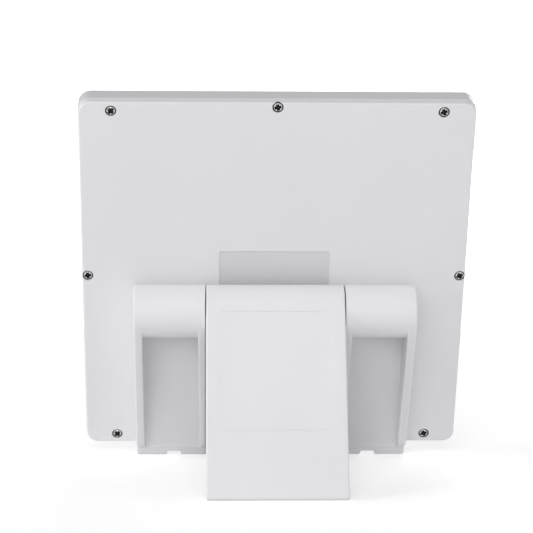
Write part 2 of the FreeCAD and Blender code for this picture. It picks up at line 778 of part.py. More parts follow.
def make_power_button():
    """An oblong key in the panel's side, kept in by a flange behind the wall."""
    body = new_body("power_button")
    key = rounded(d.button_length, d.button_thickness, d.button_corner, button_y, button_z)
    grow(body, "key", "YZ_Plane", flange_inner, button_face, key)
    flange = rounded(
        d.button_length + 2 * d.button_lap,
        d.button_thickness + 2 * d.button_lap,
        d.button_corner,
        button_y,
        button_z,
    )
    grow(body, "flange", "YZ_Plane", flange_inner, flange_outer, flange)
    bevel_edges(body, "face", d.button_bevel, lambda edge: lies_at(edge, x=button_face))
    return body


def make_power_socket():
    """A sheet-metal shell on the board's edge with the contact tongue inside."""
    body = new_body("power_socket")
    shell = rounded(d.socket_width, d.socket_thickness, d.socket_corner, socket_y, socket_z)
    grow(body, "shell", "YZ_Plane", socket_start, socket_mouth, shell)
    mouth_width = d.socket_width - 2 * d.socket_wall
    mouth_height = d.socket_thickness - 2 * d.socket_wall
    mouth = rounded(mouth_width, mouth_height, d.socket_corner - d.socket_wall, socket_y, socket_z)
    cut(body, "mouth", "YZ_Plane", socket_start + d.socket_wall * 2, socket_mouth, mouth)
    tongue = centred(mouth_width * d.tongue_share, d.tongue_height, socket_y, socket_z)
    grow(body, "tongue", "YZ_Plane", socket_start + d.socket_wall, socket_mouth - d.tongue_inset, tongue)
    return body


def route_tube(points, diameter, bend):
    """A lead along straight runs joined by tangent arcs. It is six-sided, which is round enough inside."""
    edges = []
    start = points[0]
    for before, corner, after in zip(points, points[1:], points[2:]):
        inward = (before - corner).normalize()
        outward = (after - corner).normalize()
        reach = bend / math.tan(inward.getAngle(outward) / 2)
        first = corner + inward * reach
        last = corner + outward * reach
        towards = (inward + outward).normalize()
        middle = corner + towards * (math.hypot(reach, bend) - bend)
        edges.append(Part.LineSegment(start, first).toShape())
        edges.append(Part.Arc(first, middle, last).toShape())
        start = last
    edges.append(Part.LineSegment(start, points[-1]).toShape())
    path = Part.Wire(edges)
    flats = Part.makeCircle(diameter / 2, points[0], points[1] - points[0]).discretize(7)
    section = Part.makePolygon(flats)
    return path.makePipeShell([section], True, False)


def make_led_leads():
    """One short and one long lead from the board's connector to the strips' lower ends."""
    connector_x = (board_low_x + board_high_x) / 2
    lead_z = board_back + d.lead_diameter / 2 + d.seam
    start_y = board_low_y + d.connector_edge
    end_y = -guide_height / 2
    run_y = end_y - d.lead_drop
    strip_x = (strip_start + strip_end) / 2
    strip_z = (bezel_back + strip_back) / 2
    tubes = []
    for side in (-1, 1):
        start_x = connector_x + side * d.lead_spread / 2
        route = [
            (start_x, start_y, lead_z),
            (start_x, run_y, lead_z),
            (side * strip_x, run_y, lead_z),
            (side * strip_x, run_y, strip_z),
            (side * strip_x, end_y, strip_z),
        ]
        points = [Vector(*(place.value for place in point)) for point in route]
        tubes.append(route_tube(points, d.lead_diameter.value, d.lead_bend.value))
    leads = doc.addObject("Part::Feature", "led_leads")
    leads.Shape = Part.makeCompound(tubes)
    leads.Label = "led_leads"
    return leads


# ---------------------------------------------------------------- screws and label

def make_cover_screws():
    """Eight cross-head screws in the sunk seats of the cover."""
    body = new_body("cover_screws")
    head_top = screw_seat + d.screw_head_height
    heads = [circle(d.screw_head, x, y) for x, y in screw_points]
    grow(body, "heads", "XY_Plane", screw_seat, head_top, *heads)
    bevel_edges(body, "head_edges", d.screw_head_bevel, lambda edge: lies_at(edge, z=head_top))
    shanks = [circle(d.screw_shank, x, y) for x, y in screw_points]
    grow(body, "shanks", "XY_Plane", screw_seat - d.screw_length, screw_seat, *shanks)
    slot_bottom = head_top - d.cross_depth
    across = [centred(d.cross_length, d.cross_width, x, y) for x, y in screw_points]
    cut(body, "cross_across", "XY_Plane", slot_bottom, head_top, *across)
    upright = [centred(d.cross_width, d.cross_length, x, y) for x, y in screw_points]
    cut(body, "cross_upright", "XY_Plane", slot_bottom, head_top, *upright)
    return body


def make_stand_screws():
    """Four screws from inside the cover into the legs' barrels."""
    body = new_body("stand_screws")
    seat = -d.cover_plate
    heads = [circle(d.stand_screw_head, x, y) for x, y in stand_screw_points]
    grow(body, "heads", "XY_Plane", seat - d.stand_screw_head_height, seat, *heads)
    shanks = [circle(d.stand_screw_shank, x, y) for x, y in stand_screw_points]
    grow(body, "shanks", "XY_Plane", seat, seat + d.stand_screw_length, *shanks)
    return body


def make_rating_label():
    body = new_body("rating_label")
    middle = d.label_top - d.label_height / 2
    outline = rounded(d.label_width, d.label_height, d.label_radius, 0, middle)
    grow(body, "foil", "XY_Plane", 0, d.label_thickness, outline)
    return body


# ---------------------------------------------------------------- legs and hinge

def make_leg(side, word):
    """A channel that tapers to the foot, moulded with its half of the hinge."""
    body = new_body(f"{word}_leg")
    base_top = hinge_y + d.base_rise
    base_lift = hinge_z - root(d.barrel_radius * d.barrel_radius - d.base_rise * d.base_rise)
    toe_y = foot_y + d.toe_depth
    drop_y = foot_y + d.toe_run
    drop_z = rim_height(drop_y)
    far_face = side * leg_far
    trough_faces = (side * trough_near, side * trough_far)
    side_view = profile(
        (base_top, 0),
        (base_top, base_lift),
        Turn(
            hinge_y - d.barrel_radius * sin(d.taper_angle),
            hinge_z + d.barrel_radius * cos(d.taper_angle),
            d.barrel_radius,
            (hinge_y, hinge_z),
        ),
        (drop_y, drop_z),
        (toe_y - d.toe_landing, d.toe_height),
        (foot_y + d.toe_height * foot_slope, d.toe_height),
        (foot_y, 0),
    )
    grow(body, "block", "YZ_Plane", *span(side, leg_near, leg_far), side_view)
    flange_top = hinge_y - d.barrel_radius + d.leg_floor
    flange = polygon(
        (foot_y, 0),
        (foot_y + d.leg_floor * foot_slope, d.leg_floor),
        (flange_top, d.leg_floor),
        (flange_top, 0),
    )
    grow(body, "flange", "YZ_Plane", *span(side, leg_near - d.flange_width, leg_near), flange)
    round_edges(body, "toe_curve", d.toe_round, lambda edge: lies_at(edge, y=drop_y, z=drop_z))

    def foot_corner(edge):
        box = edge.BoundBox
        return lies_at(edge, x=far_face) and box.ZMax < d.toe_height.value + 0.01 and box.ZLength > 1

    round_edges(body, "foot_corner", d.foot_corner, foot_corner)

    def outer_rim(edge):
        return lies_at(edge, x=far_face) and edge.BoundBox.ZMax > d.toe_height.value - 0.01

    round_edges(body, "outer_rim", d.barrel_round, outer_rim)
    sky = hinge_z + 2 * d.barrel_radius
    sweep_y = toe_y + d.toe_sweep
    sweep_z = d.leg_floor + d.toe_sweep
    trough = profile(
        (hinge_y, d.leg_floor),
        (hinge_y, sky),
        (toe_y, sky),
        (toe_y, sweep_z),
        Turn(sweep_y, d.leg_floor, d.toe_sweep, (sweep_y, sweep_z)),
    )
    cut(body, "trough", "YZ_Plane", *span(side, trough_near, trough_far), trough)

    def trough_corner(edge):
        return runs_along(edge, ALONG_Y) and lies_at(edge, z=d.leg_floor)

    round_edges(body, "trough_corners", d.trough_round, trough_corner)

    def inner_rim(edge):
        box = edge.BoundBox
        on_wall = any(lies_at(edge, x=face) for face in trough_faces)
        return on_wall and box.ZMin > d.toe_height.value and box.YLength > 0.01

    round_edges(body, "inner_rims", d.wall_round, inner_rim)
    core = span(side, trough_near - d.wall_round, trough_far + d.wall_round)
    grow(body, "barrel", "YZ_Plane", *core, circle(2 * d.barrel_radius, hinge_y, hinge_z))
    notch_y = foot_y + d.toe_height * foot_slope + d.notch_depth
    notch_low = foot_y - d.notch_depth
    flare = (d.notch_width - d.notch_top) / 2
    notch = polygon(
        (side * d.notch_centre - d.notch_width / 2 - flare, notch_low),
        (side * d.notch_centre + d.notch_width / 2 + flare, notch_low),
        (side * d.notch_centre + d.notch_top / 2, notch_y),
        (side * d.notch_centre - d.notch_top / 2, notch_y),
    )
    cut(body, "notch", "XY_Plane", 0, d.toe_height + d.notch_depth, notch)
    pegs = [circle(d.peg_size, x, y) for x, y in peg_points[side]]
    grow(body, "pegs", "XY_Plane", -d.peg_reach, 0, *pegs)
    bore = d.pin_diameter + 2 * d.pin_fit
    cut(body, "pin_bore", "YZ_Plane", *span(side, leg_near, leg_far), circle(bore, hinge_y, hinge_z))
    cap_seat = d.cap_diameter + 2 * d.cap_gap
    cut(body, "cap_seat", "YZ_Plane", *span(side, leg_far - d.cap_depth, leg_far),
        circle(cap_seat, hinge_y, hinge_z))
    pilot = d.stand_screw_shank + 2 * d.hole_gap
    pilots = [circle(pilot, x, y) for x, y in stand_screw_points if x.value * side > 0]
    cut(body, "pilots", "XY_Plane", 0, d.stand_screw_length - d.cover_plate + d.hole_gap, *pilots)
    return body


def make_hinge_pin():
    body = new_body("hinge_pin")
    end = leg_far - d.cap_depth - d.pin_end_gap
    grow(body, "pin", "YZ_Plane", -end, end, circle(d.pin_diameter, hinge_y, hinge_z))
    return body


def make_hinge_cap(side, word):
    """A push-in cap that closes the outer end of a barrel."""
    body = new_body(f"hinge_cap_{word}")
    grow(body, "cap", "YZ_Plane", *span(side, leg_far - d.cap_depth, leg_far),
         circle(d.cap_diameter, hinge_y, hinge_z))
    bevel_edges(body, "edge", d.cap_bevel, lambda edge: lies_at(edge, x=side * leg_far))
    return body


def make_friction_washer(side, word):
    """A thin washer on the pin, against the barrel's inner end."""
    body = new_body(f"friction_washer_{word}")
    inner = leg_near - d.washer_thickness
    ring = [
        circle(d.washer_diameter, hinge_y, hinge_z),
        circle(d.pin_diameter + 2 * d.washer_gap, hinge_y, hinge_z),
    ]
    grow(body, "ring", "YZ_Plane", *span(side, inner, leg_near), *ring)
    return body


# ---------------------------------------------------------------- the prop

def make_prop():
    """A ribbed shell that hangs from its knuckle and is cut flat where it stands."""
    body = new_body("prop_leg")
    half = d.prop_width / 2
    face = d.barrel_radius
    underside = face - d.prop_thickness
    inner_end = -(prop_length - prop_tip_inset)
    neck = -root(d.barrel_radius * d.barrel_radius - underside * underside)
    side_view = profile(
        (neck, underside),
        Turn(0, face, d.barrel_radius, (0, 0)),
        (-prop_length, face),
        (inner_end, underside),
    )
    grow(body, "block", "YZ_Plane", -half, half, side_view)
    round_edges(body, "tip", d.prop_tip_round, lambda edge: lies_at(edge, y=-prop_length, z=face))
    round_edges(body, "neck", d.neck_round, lambda edge: lies_at(edge, y=neck, z=underside))

    def side_edge(edge):
        return any(lies_at(edge, x=end) for end in (-half, half)) and edge.BoundBox.ZMax > face.value - 0.01

    round_edges(body, "side_edges", d.prop_round, side_edge)
    hollow_start = -(d.barrel_radius + d.knuckle_blend)
    hollow_end = inner_end + d.prop_wall
    hollow = rectangle(-half + d.prop_wall, half - d.prop_wall, hollow_end, hollow_start)
    cut(body, "hollow", "XY_Plane", underside, face - d.prop_skin, hollow)
    hollow_length = hollow_start - hollow_end
    long_ribs = [
        rectangle(x - d.prop_rib / 2, x + d.prop_rib / 2, hollow_end, hollow_start)
        for x in (-d.long_rib_spread / 2, d.long_rib_spread / 2)
    ]
    grow(body, "long_ribs", "XY_Plane", underside, face - d.prop_skin, *long_ribs)
    cross_ribs = []
    for number in (1, 2, 3):
        y = hollow_end + hollow_length * number / 4
        cross_ribs.append(rectangle(-half + d.prop_wall, half - d.prop_wall, y - d.prop_rib / 2, y + d.prop_rib / 2))
    grow(body, "cross_ribs", "XY_Plane", underside, face - d.prop_skin, *cross_ribs)
    field = rounded(
        d.prop_width - 2 * d.field_inset,
        d.field_length,
        d.field_radius,
        0,
        -d.field_start - d.field_length / 2,
    )
    cut(body, "field", "XY_Plane", face - d.field_depth, face, field)

    def turned(across, out):
        """A point given square to the panel at the open pose, in the prop's own frame."""
        y = across * cos(d.open_angle) - out * sin(d.open_angle)
        z = across * sin(d.open_angle) + out * cos(d.open_angle)
        return (y, z)

    lug = [
        turned(as_size(0), -d.barrel_radius),
        turned(d.stop_reach, -d.barrel_radius),
        turned(d.stop_reach, -d.barrel_radius + d.stop_height),
        turned(as_size(0), -d.barrel_radius + d.stop_height),
    ]
    for side, word in ((-1, "left"), (1, "right")):
        outer = half - d.stop_inset
        grow(body, f"{word}_stop", "YZ_Plane", *span(side, outer - d.stop_width, outer), polygon(*lug))
    bore = d.pin_diameter + 2 * d.pin_running
    cut(body, "bore", "YZ_Plane", -half, half, circle(bore))
    return body


# ---------------------------------------------------------------- assembly

panel_pieces = [make_front_frame(), make_back_cover()]
panel_pieces += make_stack()
for side, word in ((-1, "left"), (1, "right")):
    panel_pieces.append(make_lamp_strip(side, word))
    panel_pieces.append(make_chips(side, word))
panel_pieces += [
    make_control_board(),
    make_board_parts(),
    make_brightness_switch(),
    make_power_button(),
    make_power_socket(),
    make_led_leads(),
    make_cover_screws(),
    make_stand_screws(),
    make_rating_label(),
    make_hinge_pin(),
]
for side, word in ((-1, "left"), (1, "right")):
    panel_pieces.append(make_leg(side, word))
    panel_pieces.append(make_hinge_cap(side, word))
    panel_pieces.append(make_friction_washer(side, word))
prop = make_prop()

lean = Rotation(Vector(1, 0, 0), 90 + d.lean_angle.value)
open_swing = Rotation(Vector(1, 0, 0), -d.open_angle.value)
hinge_place = Vector(0, hinge_y.value, hinge_z.value)


def stand_at(base):
    """Leans the panel and swings the prop, with the panel's frame moved to base."""
    panel_place = Placement(base, lean)
    for piece in panel_pieces:
        piece.Placement = panel_place
    prop.Placement = panel_place.multiply(Placement(hinge_place, open_swing))
    doc.recompute()


pieces = panel_pieces + [prop]
ground_rise = -foot_y.value * math.cos(math.radians(d.lean_angle.value))
stand_at(Vector(-d.button_proud.value / 2, 0, ground_rise))
whole = Part.makeCompound([piece.Shape for piece in pieces]).optimalBoundingBox(False)
base = Vector(-d.button_proud.value / 2, -(whole.YMin + whole.YMax) / 2, ground_rise)
stand_at(base)

for obj in doc.Objects:
    if "Invalid" in obj.State or "Error" in obj.State:
        raise RuntimeError(f"{obj.Label} is {obj.State}")
for piece in pieces:
    if piece.Shape.isNull() or not piece.Shape.isValid():
        raise RuntimeError(f"{piece.Label} has no valid shape")

os.makedirs("parts", exist_ok=True)
for piece in pieces:
    piece.Shape.exportStep(f"parts/{piece.Label}.step")
    box = piece.Shape.BoundBox
    print(f"{piece.Label}: {len(piece.Shape.Solids)} solids, {piece.Shape.Volume / 1000:.2f} cm3,",
          f"z {box.ZMin:.2f} to {box.ZMax:.2f}")

hinge_point = Placement(base, lean).multVec(hinge_place)
whole = Part.makeCompound([piece.Shape for piece in pieces]).optimalBoundingBox(False)
print(f"{len(pieces)} sub-parts; prop length {prop_length.value:.2f}")
print(f"hinge axis at {hinge_point}, panel frame at {base}")
print(f"overall {whole.XLength:.2f} x {whole.YLength:.2f} x {whole.ZLength:.2f}, lowest {whole.ZMin:.3f}")
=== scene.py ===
# %% [markdown]
# # A light therapy lamp, seen from behind
# This lesson dresses an engineering model of a lamp: a thin square light panel that leans on a fold-out
# stand. The model fixes every size, place and joint. Blender adds the finish: soft moulded edges, sunk
# screws, a ribbed prop, plastic grain, silver foil, and a studio to look at them in.

# %% Load the engineering model
import json
import math

import bmesh
import bpy
from mathutils import Matrix, Vector


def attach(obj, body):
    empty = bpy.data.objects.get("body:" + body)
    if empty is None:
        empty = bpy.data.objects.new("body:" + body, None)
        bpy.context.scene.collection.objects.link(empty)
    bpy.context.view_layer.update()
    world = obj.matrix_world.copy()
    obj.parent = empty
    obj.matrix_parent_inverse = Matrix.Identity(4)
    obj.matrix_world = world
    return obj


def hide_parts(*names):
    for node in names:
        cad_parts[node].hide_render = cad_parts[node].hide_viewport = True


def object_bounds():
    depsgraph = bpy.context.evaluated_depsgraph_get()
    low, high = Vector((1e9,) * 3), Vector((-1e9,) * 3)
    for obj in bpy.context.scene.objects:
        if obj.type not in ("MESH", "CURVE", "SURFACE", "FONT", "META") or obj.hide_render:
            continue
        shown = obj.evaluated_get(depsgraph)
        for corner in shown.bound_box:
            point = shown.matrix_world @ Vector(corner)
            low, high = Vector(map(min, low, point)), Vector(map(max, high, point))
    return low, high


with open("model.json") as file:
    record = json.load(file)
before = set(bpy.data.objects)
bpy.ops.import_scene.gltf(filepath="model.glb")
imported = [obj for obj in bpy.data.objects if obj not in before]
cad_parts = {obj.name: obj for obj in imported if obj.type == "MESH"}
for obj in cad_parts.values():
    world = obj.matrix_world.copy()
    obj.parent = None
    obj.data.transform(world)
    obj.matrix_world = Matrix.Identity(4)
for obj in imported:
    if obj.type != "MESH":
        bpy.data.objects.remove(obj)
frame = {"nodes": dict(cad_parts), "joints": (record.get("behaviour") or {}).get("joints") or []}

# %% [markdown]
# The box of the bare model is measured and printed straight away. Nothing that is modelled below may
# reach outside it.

cad_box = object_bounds()
for title, corner in zip(("lowest", "highest"), cad_box):
    print("bare model,", title, "corner:", [round(float(place), 4) for place in corner])

# %% [markdown]
# ## Working in the panel's own frame
# The panel leans back, so nothing on it is level. It is far easier to model each piece flat, as on a
# bench: x across, y up along the panel and z out of its back, in millimetres, with the origin in the middle
# of the back face. One matrix then leans the finished mesh back and turns it into metres. The hinge is the
# one point that is known in both frames, so the matrix is built through it. The prop gets a second matrix,
# with its origin on the hinge axis and z out of its face.

# %% The two workbenches
MILLIMETRE = 0.001
LEAN = math.radians(19.4)
PROP_ANGLE = math.radians(46)
HINGE_UP = -10.5
HINGE_OUT = 13.3

hinge = next(joint for joint in frame["joints"] if joint["type"] == "hinge")
at_hinge = Matrix.Translation(hinge["pos_m"])
leaning = Matrix.Rotation(math.pi / 2 + LEAN, 4, "X")
to_metres = Matrix.Scale(MILLIMETRE, 4)
panel_bench = at_hinge @ leaning @ to_metres @ Matrix.Translation((0, -HINGE_UP, -HINGE_OUT))
prop_bench = at_hinge @ leaning @ Matrix.Rotation(-PROP_ANGLE, 4, "X") @ to_metres
print("middle of the back face:", [round(place, 4) for place in panel_bench.translation])

# %% [markdown]
# ## Small tools for sheet and block work
# Moulded parts are flat outlines that are pushed out, rounded and pierced. The outlines come from three
# helpers: a rectangle whose corners are rounded by a vertex bevel, a circle, and a traced side view in
# which straight strokes and swings about a centre follow each other.

# %% Outlines
CORNER_STEPS = 10
CIRCLE_STEPS = 64
SWING_STEP = math.radians(3)


def turn_outward(bm):
    bmesh.ops.recalc_face_normals(bm, faces=bm.faces)


def quarter_turn(steps):
    """The angles of a quarter turn in equal steps."""
    return [step / steps * math.pi / 2 for step in range(steps + 1)]


def bevel_corners(bm, corners, offset, steps):
    """Rounds corners of a flat outline. Returns the vertices that take their place."""
    return bmesh.ops.bevel(bm, geom=corners, offset=offset, affect="VERTICES", segments=steps,
                           profile=0.5, material=-1)["verts"]


def round_corner(bm, place, offset, steps):
    """Rounds the corner of a flat outline that lies at a place."""
    corner = min(bm.verts, key=lambda vert: (vert.co - Vector(place)).length)
    bevel_corners(bm, [corner], offset, steps)


def rounded_rectangle(bm, width, height, radius, place):
    """One flat face with round corners. Place carries it from the xy plane."""
    made = bmesh.ops.create_grid(bm, x_segments=1, y_segments=1, size=0.5)["verts"]
    bmesh.ops.scale(bm, verts=made, vec=(width, height, 1))
    made = bevel_corners(bm, made, radius, CORNER_STEPS)
    bmesh.ops.transform(bm, matrix=place, verts=made)
    return made[0].link_faces[0]


def disc(bm, diameter, place):
    """One flat round face."""
    made = bmesh.ops.create_circle(bm, cap_ends=True, radius=diameter / 2, segments=CIRCLE_STEPS,
                                   matrix=place)
    return made["verts"][0].link_faces[0]


def side_view(bm, x, start, *strokes):
    """A face in the plane of that x. A stroke is a (y, z) point, or (centre, angle) to swing about it."""
    first = bm.verts.new((x, *start))
    last = first
    outline = []
    for stroke in strokes:
        if isinstance(stroke[0], tuple):
            centre, angle = stroke
            steps = max(2, round(abs(angle) / SWING_STEP))
            known = set(bm.edges)
            swung = bmesh.ops.spin(bm, geom=[last], cent=(x, *centre), axis=(1, 0, 0),
                                   angle=angle, steps=steps, use_merge=False)
            outline += [edge for edge in bm.edges if edge not in known]
            last = next(part for part in swung["geom_last"] if isinstance(part, bmesh.types.BMVert))
        else:
            following = bm.verts.new((x, *stroke))
            outline.append(bm.edges.new((last, following)))
            last = following
    outline.append(bm.edges.new((last, first)))
    return bmesh.ops.contextual_create(bm, geom=outline)["faces"][0]


# %% [markdown]
# Next come the moves: push a face out into a block, round chosen edges, hollow a block out, pierce a flat
# wall with openings, and drop a wall from the rim of an opening. Piercing deletes the flat face and fills
# the ring between its border and the openings again, so the surface stays perfectly flat.

# %% Push, round, pierce and sink
ROUND_STEPS = 4
CLOSE = 0.01
SQUARE_ON = 0.999
SPUN_MERGE = 0.0005


def push(bm, face, step):
    """Pushes a face along a vector, keeping it behind as the other end. Returns the moved face."""
    made = bmesh.ops.extrude_face_region(bm, geom=[face])["geom"]
    moved = [part for part in made if isinstance(part, bmesh.types.BMVert)]
    bmesh.ops.translate(bm, verts=moved, vec=step)
    return next(part for part in made if isinstance(part, bmesh.types.BMFace))


def round_off(bm, edges, radius, steps=ROUND_STEPS):
    bmesh.ops.bevel(bm, geom=edges, offset=radius, affect="EDGES", segments=steps, profile=0.5,
                    material=-1, clamp_overlap=False)


def edges_with(bm, test):
    """Edges of which both ends pass the test."""
    return [edge for edge in bm.edges if all(test(end.co) for end in edge.verts)]


def lengthwise(edges):
    """Those edges that don't run across the piece."""
    return [edge for edge in edges if abs(edge.verts[0].co.x - edge.verts[1].co.x) < CLOSE]


def flat_face(bm, direction):
    """The largest face that looks in the given direction."""
    bm.normal_update()
    looking = [face for face in bm.faces if face.normal.dot(Vector(direction)) > SQUARE_ON]
    return max(looking, key=lambda face: face.calc_area())


def hollow_out(bm, direction, wall, depth):
    """Hollows a block from its largest face in a direction, leaving a wall round it. Returns the floor."""
    bmesh.ops.inset_region(bm, faces=[flat_face(bm, direction)], thickness=wall, use_even_offset=True)
    floor = bmesh.ops.extrude_discrete_faces(bm, faces=[flat_face(bm, direction)])["faces"][0]
    bmesh.ops.translate(bm, verts=floor.verts, vec=-depth * Vector(direction))
    return floor


def pierce(bm, wall, *openings):
    """Cuts flat loose faces out of the flat wall that they lie in. Returns the rims, as lists of edges."""
    normal = wall.normal.copy()
    border = list(wall.edges)
    rims = [list(opening.edges) for opening in openings]
    bmesh.ops.delete(bm, geom=[wall, *openings], context="FACES_ONLY")
    ring = border + [edge for rim in rims for edge in rim]
    bmesh.ops.triangle_fill(bm, use_beauty=True, normal=normal, edges=ring)
    return rims


def sink(bm, rim, step):
    """Drops a wall from a rim along a vector and floors it. Returns the lower rim."""
    made = bmesh.ops.extrude_edge_only(bm, edges=rim)["geom"]
    lower = {part for part in made if isinstance(part, bmesh.types.BMVert)}
    bmesh.ops.translate(bm, verts=list(lower), vec=step)
    lower_rim = [part for part in made if isinstance(part, bmesh.types.BMEdge) and set(part.verts) <= lower]
    bmesh.ops.contextual_create(bm, geom=lower_rim)
    return lower_rim


def at(x=0.0, y=0.0, z=0.0):
    return Matrix.Translation((x, y, z))


def spun(section):
    """Spins a list of (radius, z) points about the z axis into a closed skin."""
    bm = bmesh.new()
    wire = [bm.verts.new((radius, 0, z)) for radius, z in section]
    edges = [bm.edges.new(pair) for pair in zip(wire, wire[1:])]
    bmesh.ops.spin(bm, geom=wire + edges, cent=(0, 0, 0), axis=(0, 0, 1), angle=2 * math.pi,
                   steps=CIRCLE_STEPS, use_merge=True)
    bmesh.ops.remove_doubles(bm, verts=bm.verts, dist=SPUN_MERGE)
    return bm


def repeated(one, places):
    """One mesh with a copy of a bmesh at each of the places. The first one is used up."""
    bm = bmesh.new()
    mesh = bpy.data.meshes.new("bench")
    for place in places:
        twin = one.copy()
        bmesh.ops.transform(twin, matrix=place, verts=twin.verts)
        twin.to_mesh(mesh)
        twin.free()
        bm.from_mesh(mesh)
    bpy.data.meshes.remove(mesh)
    one.free()
    return bm


# %% [markdown]
# Some shapes cross each other at an angle, such as a barrel that runs into a channel. Blender's exact
# Boolean joins or cuts such closed blocks. The two blocks go into the scene only for as long as the
# modifier needs them, and the result comes back as a mesh to work on.

# %% Join and cut closed blocks
JOINED_MERGE = 0.001


def put_in_scene(name, data):
    """A new object that shows a mesh, a light or a camera."""
    thing = bpy.data.objects.new(name, data)
    bpy.context.scene.collection.objects.link(thing)
    return thing


def mesh_object(name, bm):
    """A new mesh object in the scene. The bmesh is used up."""
    mesh = bpy.data.meshes.new(name)
    bm.to_mesh(mesh)
    bm.free()
    return put_in_scene(name, mesh)


def combine(block, tool, operation):
    """UNION or DIFFERENCE of two closed bmeshes. Both are used up."""
    holders = []
    for shell in (block, tool):
        turn_outward(shell)
        holders.append(mesh_object("bench", shell))
    cutter = holders[0].modifiers.new("combine", "BOOLEAN")
    cutter.operation = operation
    cutter.solver = "EXACT"
    cutter.object = holders[1]
    result = bmesh.new()
    result.from_object(holders[0], bpy.context.evaluated_depsgraph_get())
    for holder in holders:
        mesh = holder.data
        bpy.data.objects.remove(holder)
        bpy.data.meshes.remove(mesh)
    bmesh.ops.remove_doubles(result, verts=result.verts, dist=JOINED_MERGE)
    return result


# %% [markdown]
# Every finished piece is handed over in the same way. Its mesh is carried from the bench to its place, the
# flat faces keep flat shading while the small roundings shade smoothly between them, and the piece gets its
# finish, is tied to the moving body and hides the engineering nodes that it stands for.

# %% Hand over a piece
SHARP_ANGLE = math.radians(32)


def hand_over(bm, name, bench, finish, slot, body, *stands_for):
    bmesh.ops.transform(bm, matrix=bench, verts=bm.verts)
    turn_outward(bm)
    loose_ends = sum(1 for edge in bm.edges if len(edge.link_faces) != 2)
    piece = mesh_object(name, bm)
    mesh = piece.data
    for polygon in mesh.polygons:
        polygon.use_smooth = True
    mesh.set_sharp_from_angle(angle=SHARP_ANGLE)
    mesh.materials.append(finish)
    shading = piece.modifiers.new("flat faces stay flat", "WEIGHTED_NORMAL")
    shading.keep_sharp = True
    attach(piece, body)
    if stands_for:
        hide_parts(*stands_for)
    size = [round(length / MILLIMETRE, 1) for length in piece.dimensions]
    print(f"{name}: {len(mesh.polygons)} faces, {loose_ends} open edges, {size} mm")
    return piece


# %% [markdown]
# ## Writing shader arithmetic as Python
# A finish is a small sum of masks: grain times a little, plus a slow cloud of tone, and so on. `Wire` wraps
# a socket, and adding or multiplying wires adds the Math nodes. `Finish` holds one material. Its `node`
# method makes any other node, from its type, its settings and what goes into its sockets.

# %% Wires and finishes
class Wire:
    def __init__(self, finish, socket):
        self.finish = finish
        self.socket = socket

    def maths(self, operation, first, second):
        return self.finish.node("Math", {"operation": operation}, {0: first, 1: second})

    def __add__(self, other):
        return self.maths("ADD", self, other)

    def __sub__(self, other):
        return self.maths("SUBTRACT", self, other)

    def __mul__(self, other):
        return self.maths("MULTIPLY", self, other)

    __radd__ = __add__
    __rmul__ = __mul__


class Finish:
    def __init__(self, name, **constants):
        self.material = bpy.data.materials.new(name)
        self.material.use_nodes = True
        self.tree = self.material.node_tree
        self.shader = self.tree.nodes["Principled BSDF"]
        self.set(**constants)

    def plug(self, socket, value):
        if isinstance(value, Wire):
            self.tree.links.new(value.socket, socket)
        else:
            socket.default_value = value

    def set(self, **values):
        """Sets the shader's own sockets. base_color names the socket Base Color."""
        for name, value in values.items():
            title = name.replace("_", " ").title().replace("Ior", "IOR")
            self.plug(self.shader.inputs[title], value)

    def node(self, kind, settings, inputs, output=0):
        made = self.tree.nodes.new("ShaderNode" + kind)
        for name, value in settings.items():
            if name == "stops":
                self.set_stops(made.color_ramp, value)
            else:
                setattr(made, name, value)
        for name, value in inputs.items():
            self.plug(made.inputs[name], value)
        return Wire(self, made.outputs[output])

    def set_stops(self, ramp, stops):
        while len(ramp.elements) < len(stops):
            ramp.elements.new(1.0)
        for element, (place, value) in zip(ramp.elements, stops):
            element.position = place
            element.color = (value, value, value, 1)

    def here(self, scale=(1, 1, 1)):
        """The point on the piece, in metres, stretched as asked."""
        point = self.node("TexCoord", {}, {}, "Object")
        return self.node("Mapping", {}, {"Vector": point, "Scale": scale})

    def noise(self, scale, detail=2.0, roughness=0.5, where=None):
        return self.node("TexNoise", {}, {"Vector": where or self.here(), "Scale": scale,
                                          "Detail": detail, "Roughness": roughness})

    def ramp(self, value, *stops):
        return self.node("ValToRGB", {"stops": stops}, {"Fac": value})

    def blend(self, share, first, second):
        return self.node("Mix", {"data_type": "RGBA"}, {0: share, 6: first, 7: second}, 2)

    def bump(self, height, depth, **over):
        """Bumps of a depth in metres. Normal=... lays them over other bumps."""
        return self.node("Bump", {}, {"Height": height, "Distance": depth, "Strength": 1.0, **over})


def colour(red, green, blue):
    return (red, green, blue, 1.0)


# %% [markdown]
# ## White moulded plastic
# The casing and the stand are white ABS from a finely blasted mould. Close up, that is three things: a
# grain of about a quarter of a millimetre that softens every reflection, a much slower ripple from the way
# the plastic flowed and shrank, and patches that hands have polished or dulled a little. The grain and the
# ripple go into one bump, and the patches move the roughness and, very faintly, the tone.

# %% White plastic
GRAIN_SCALE = 4200
RIPPLE_SCALE = 38
PATCH_SCALE = 24
RUBBED_SCALE = 144
GRAIN_DEPTH = 0.000012
RIPPLE_DEPTH = 0.00006
DULLED = (0.978, 0.98, 0.984, 1.0)


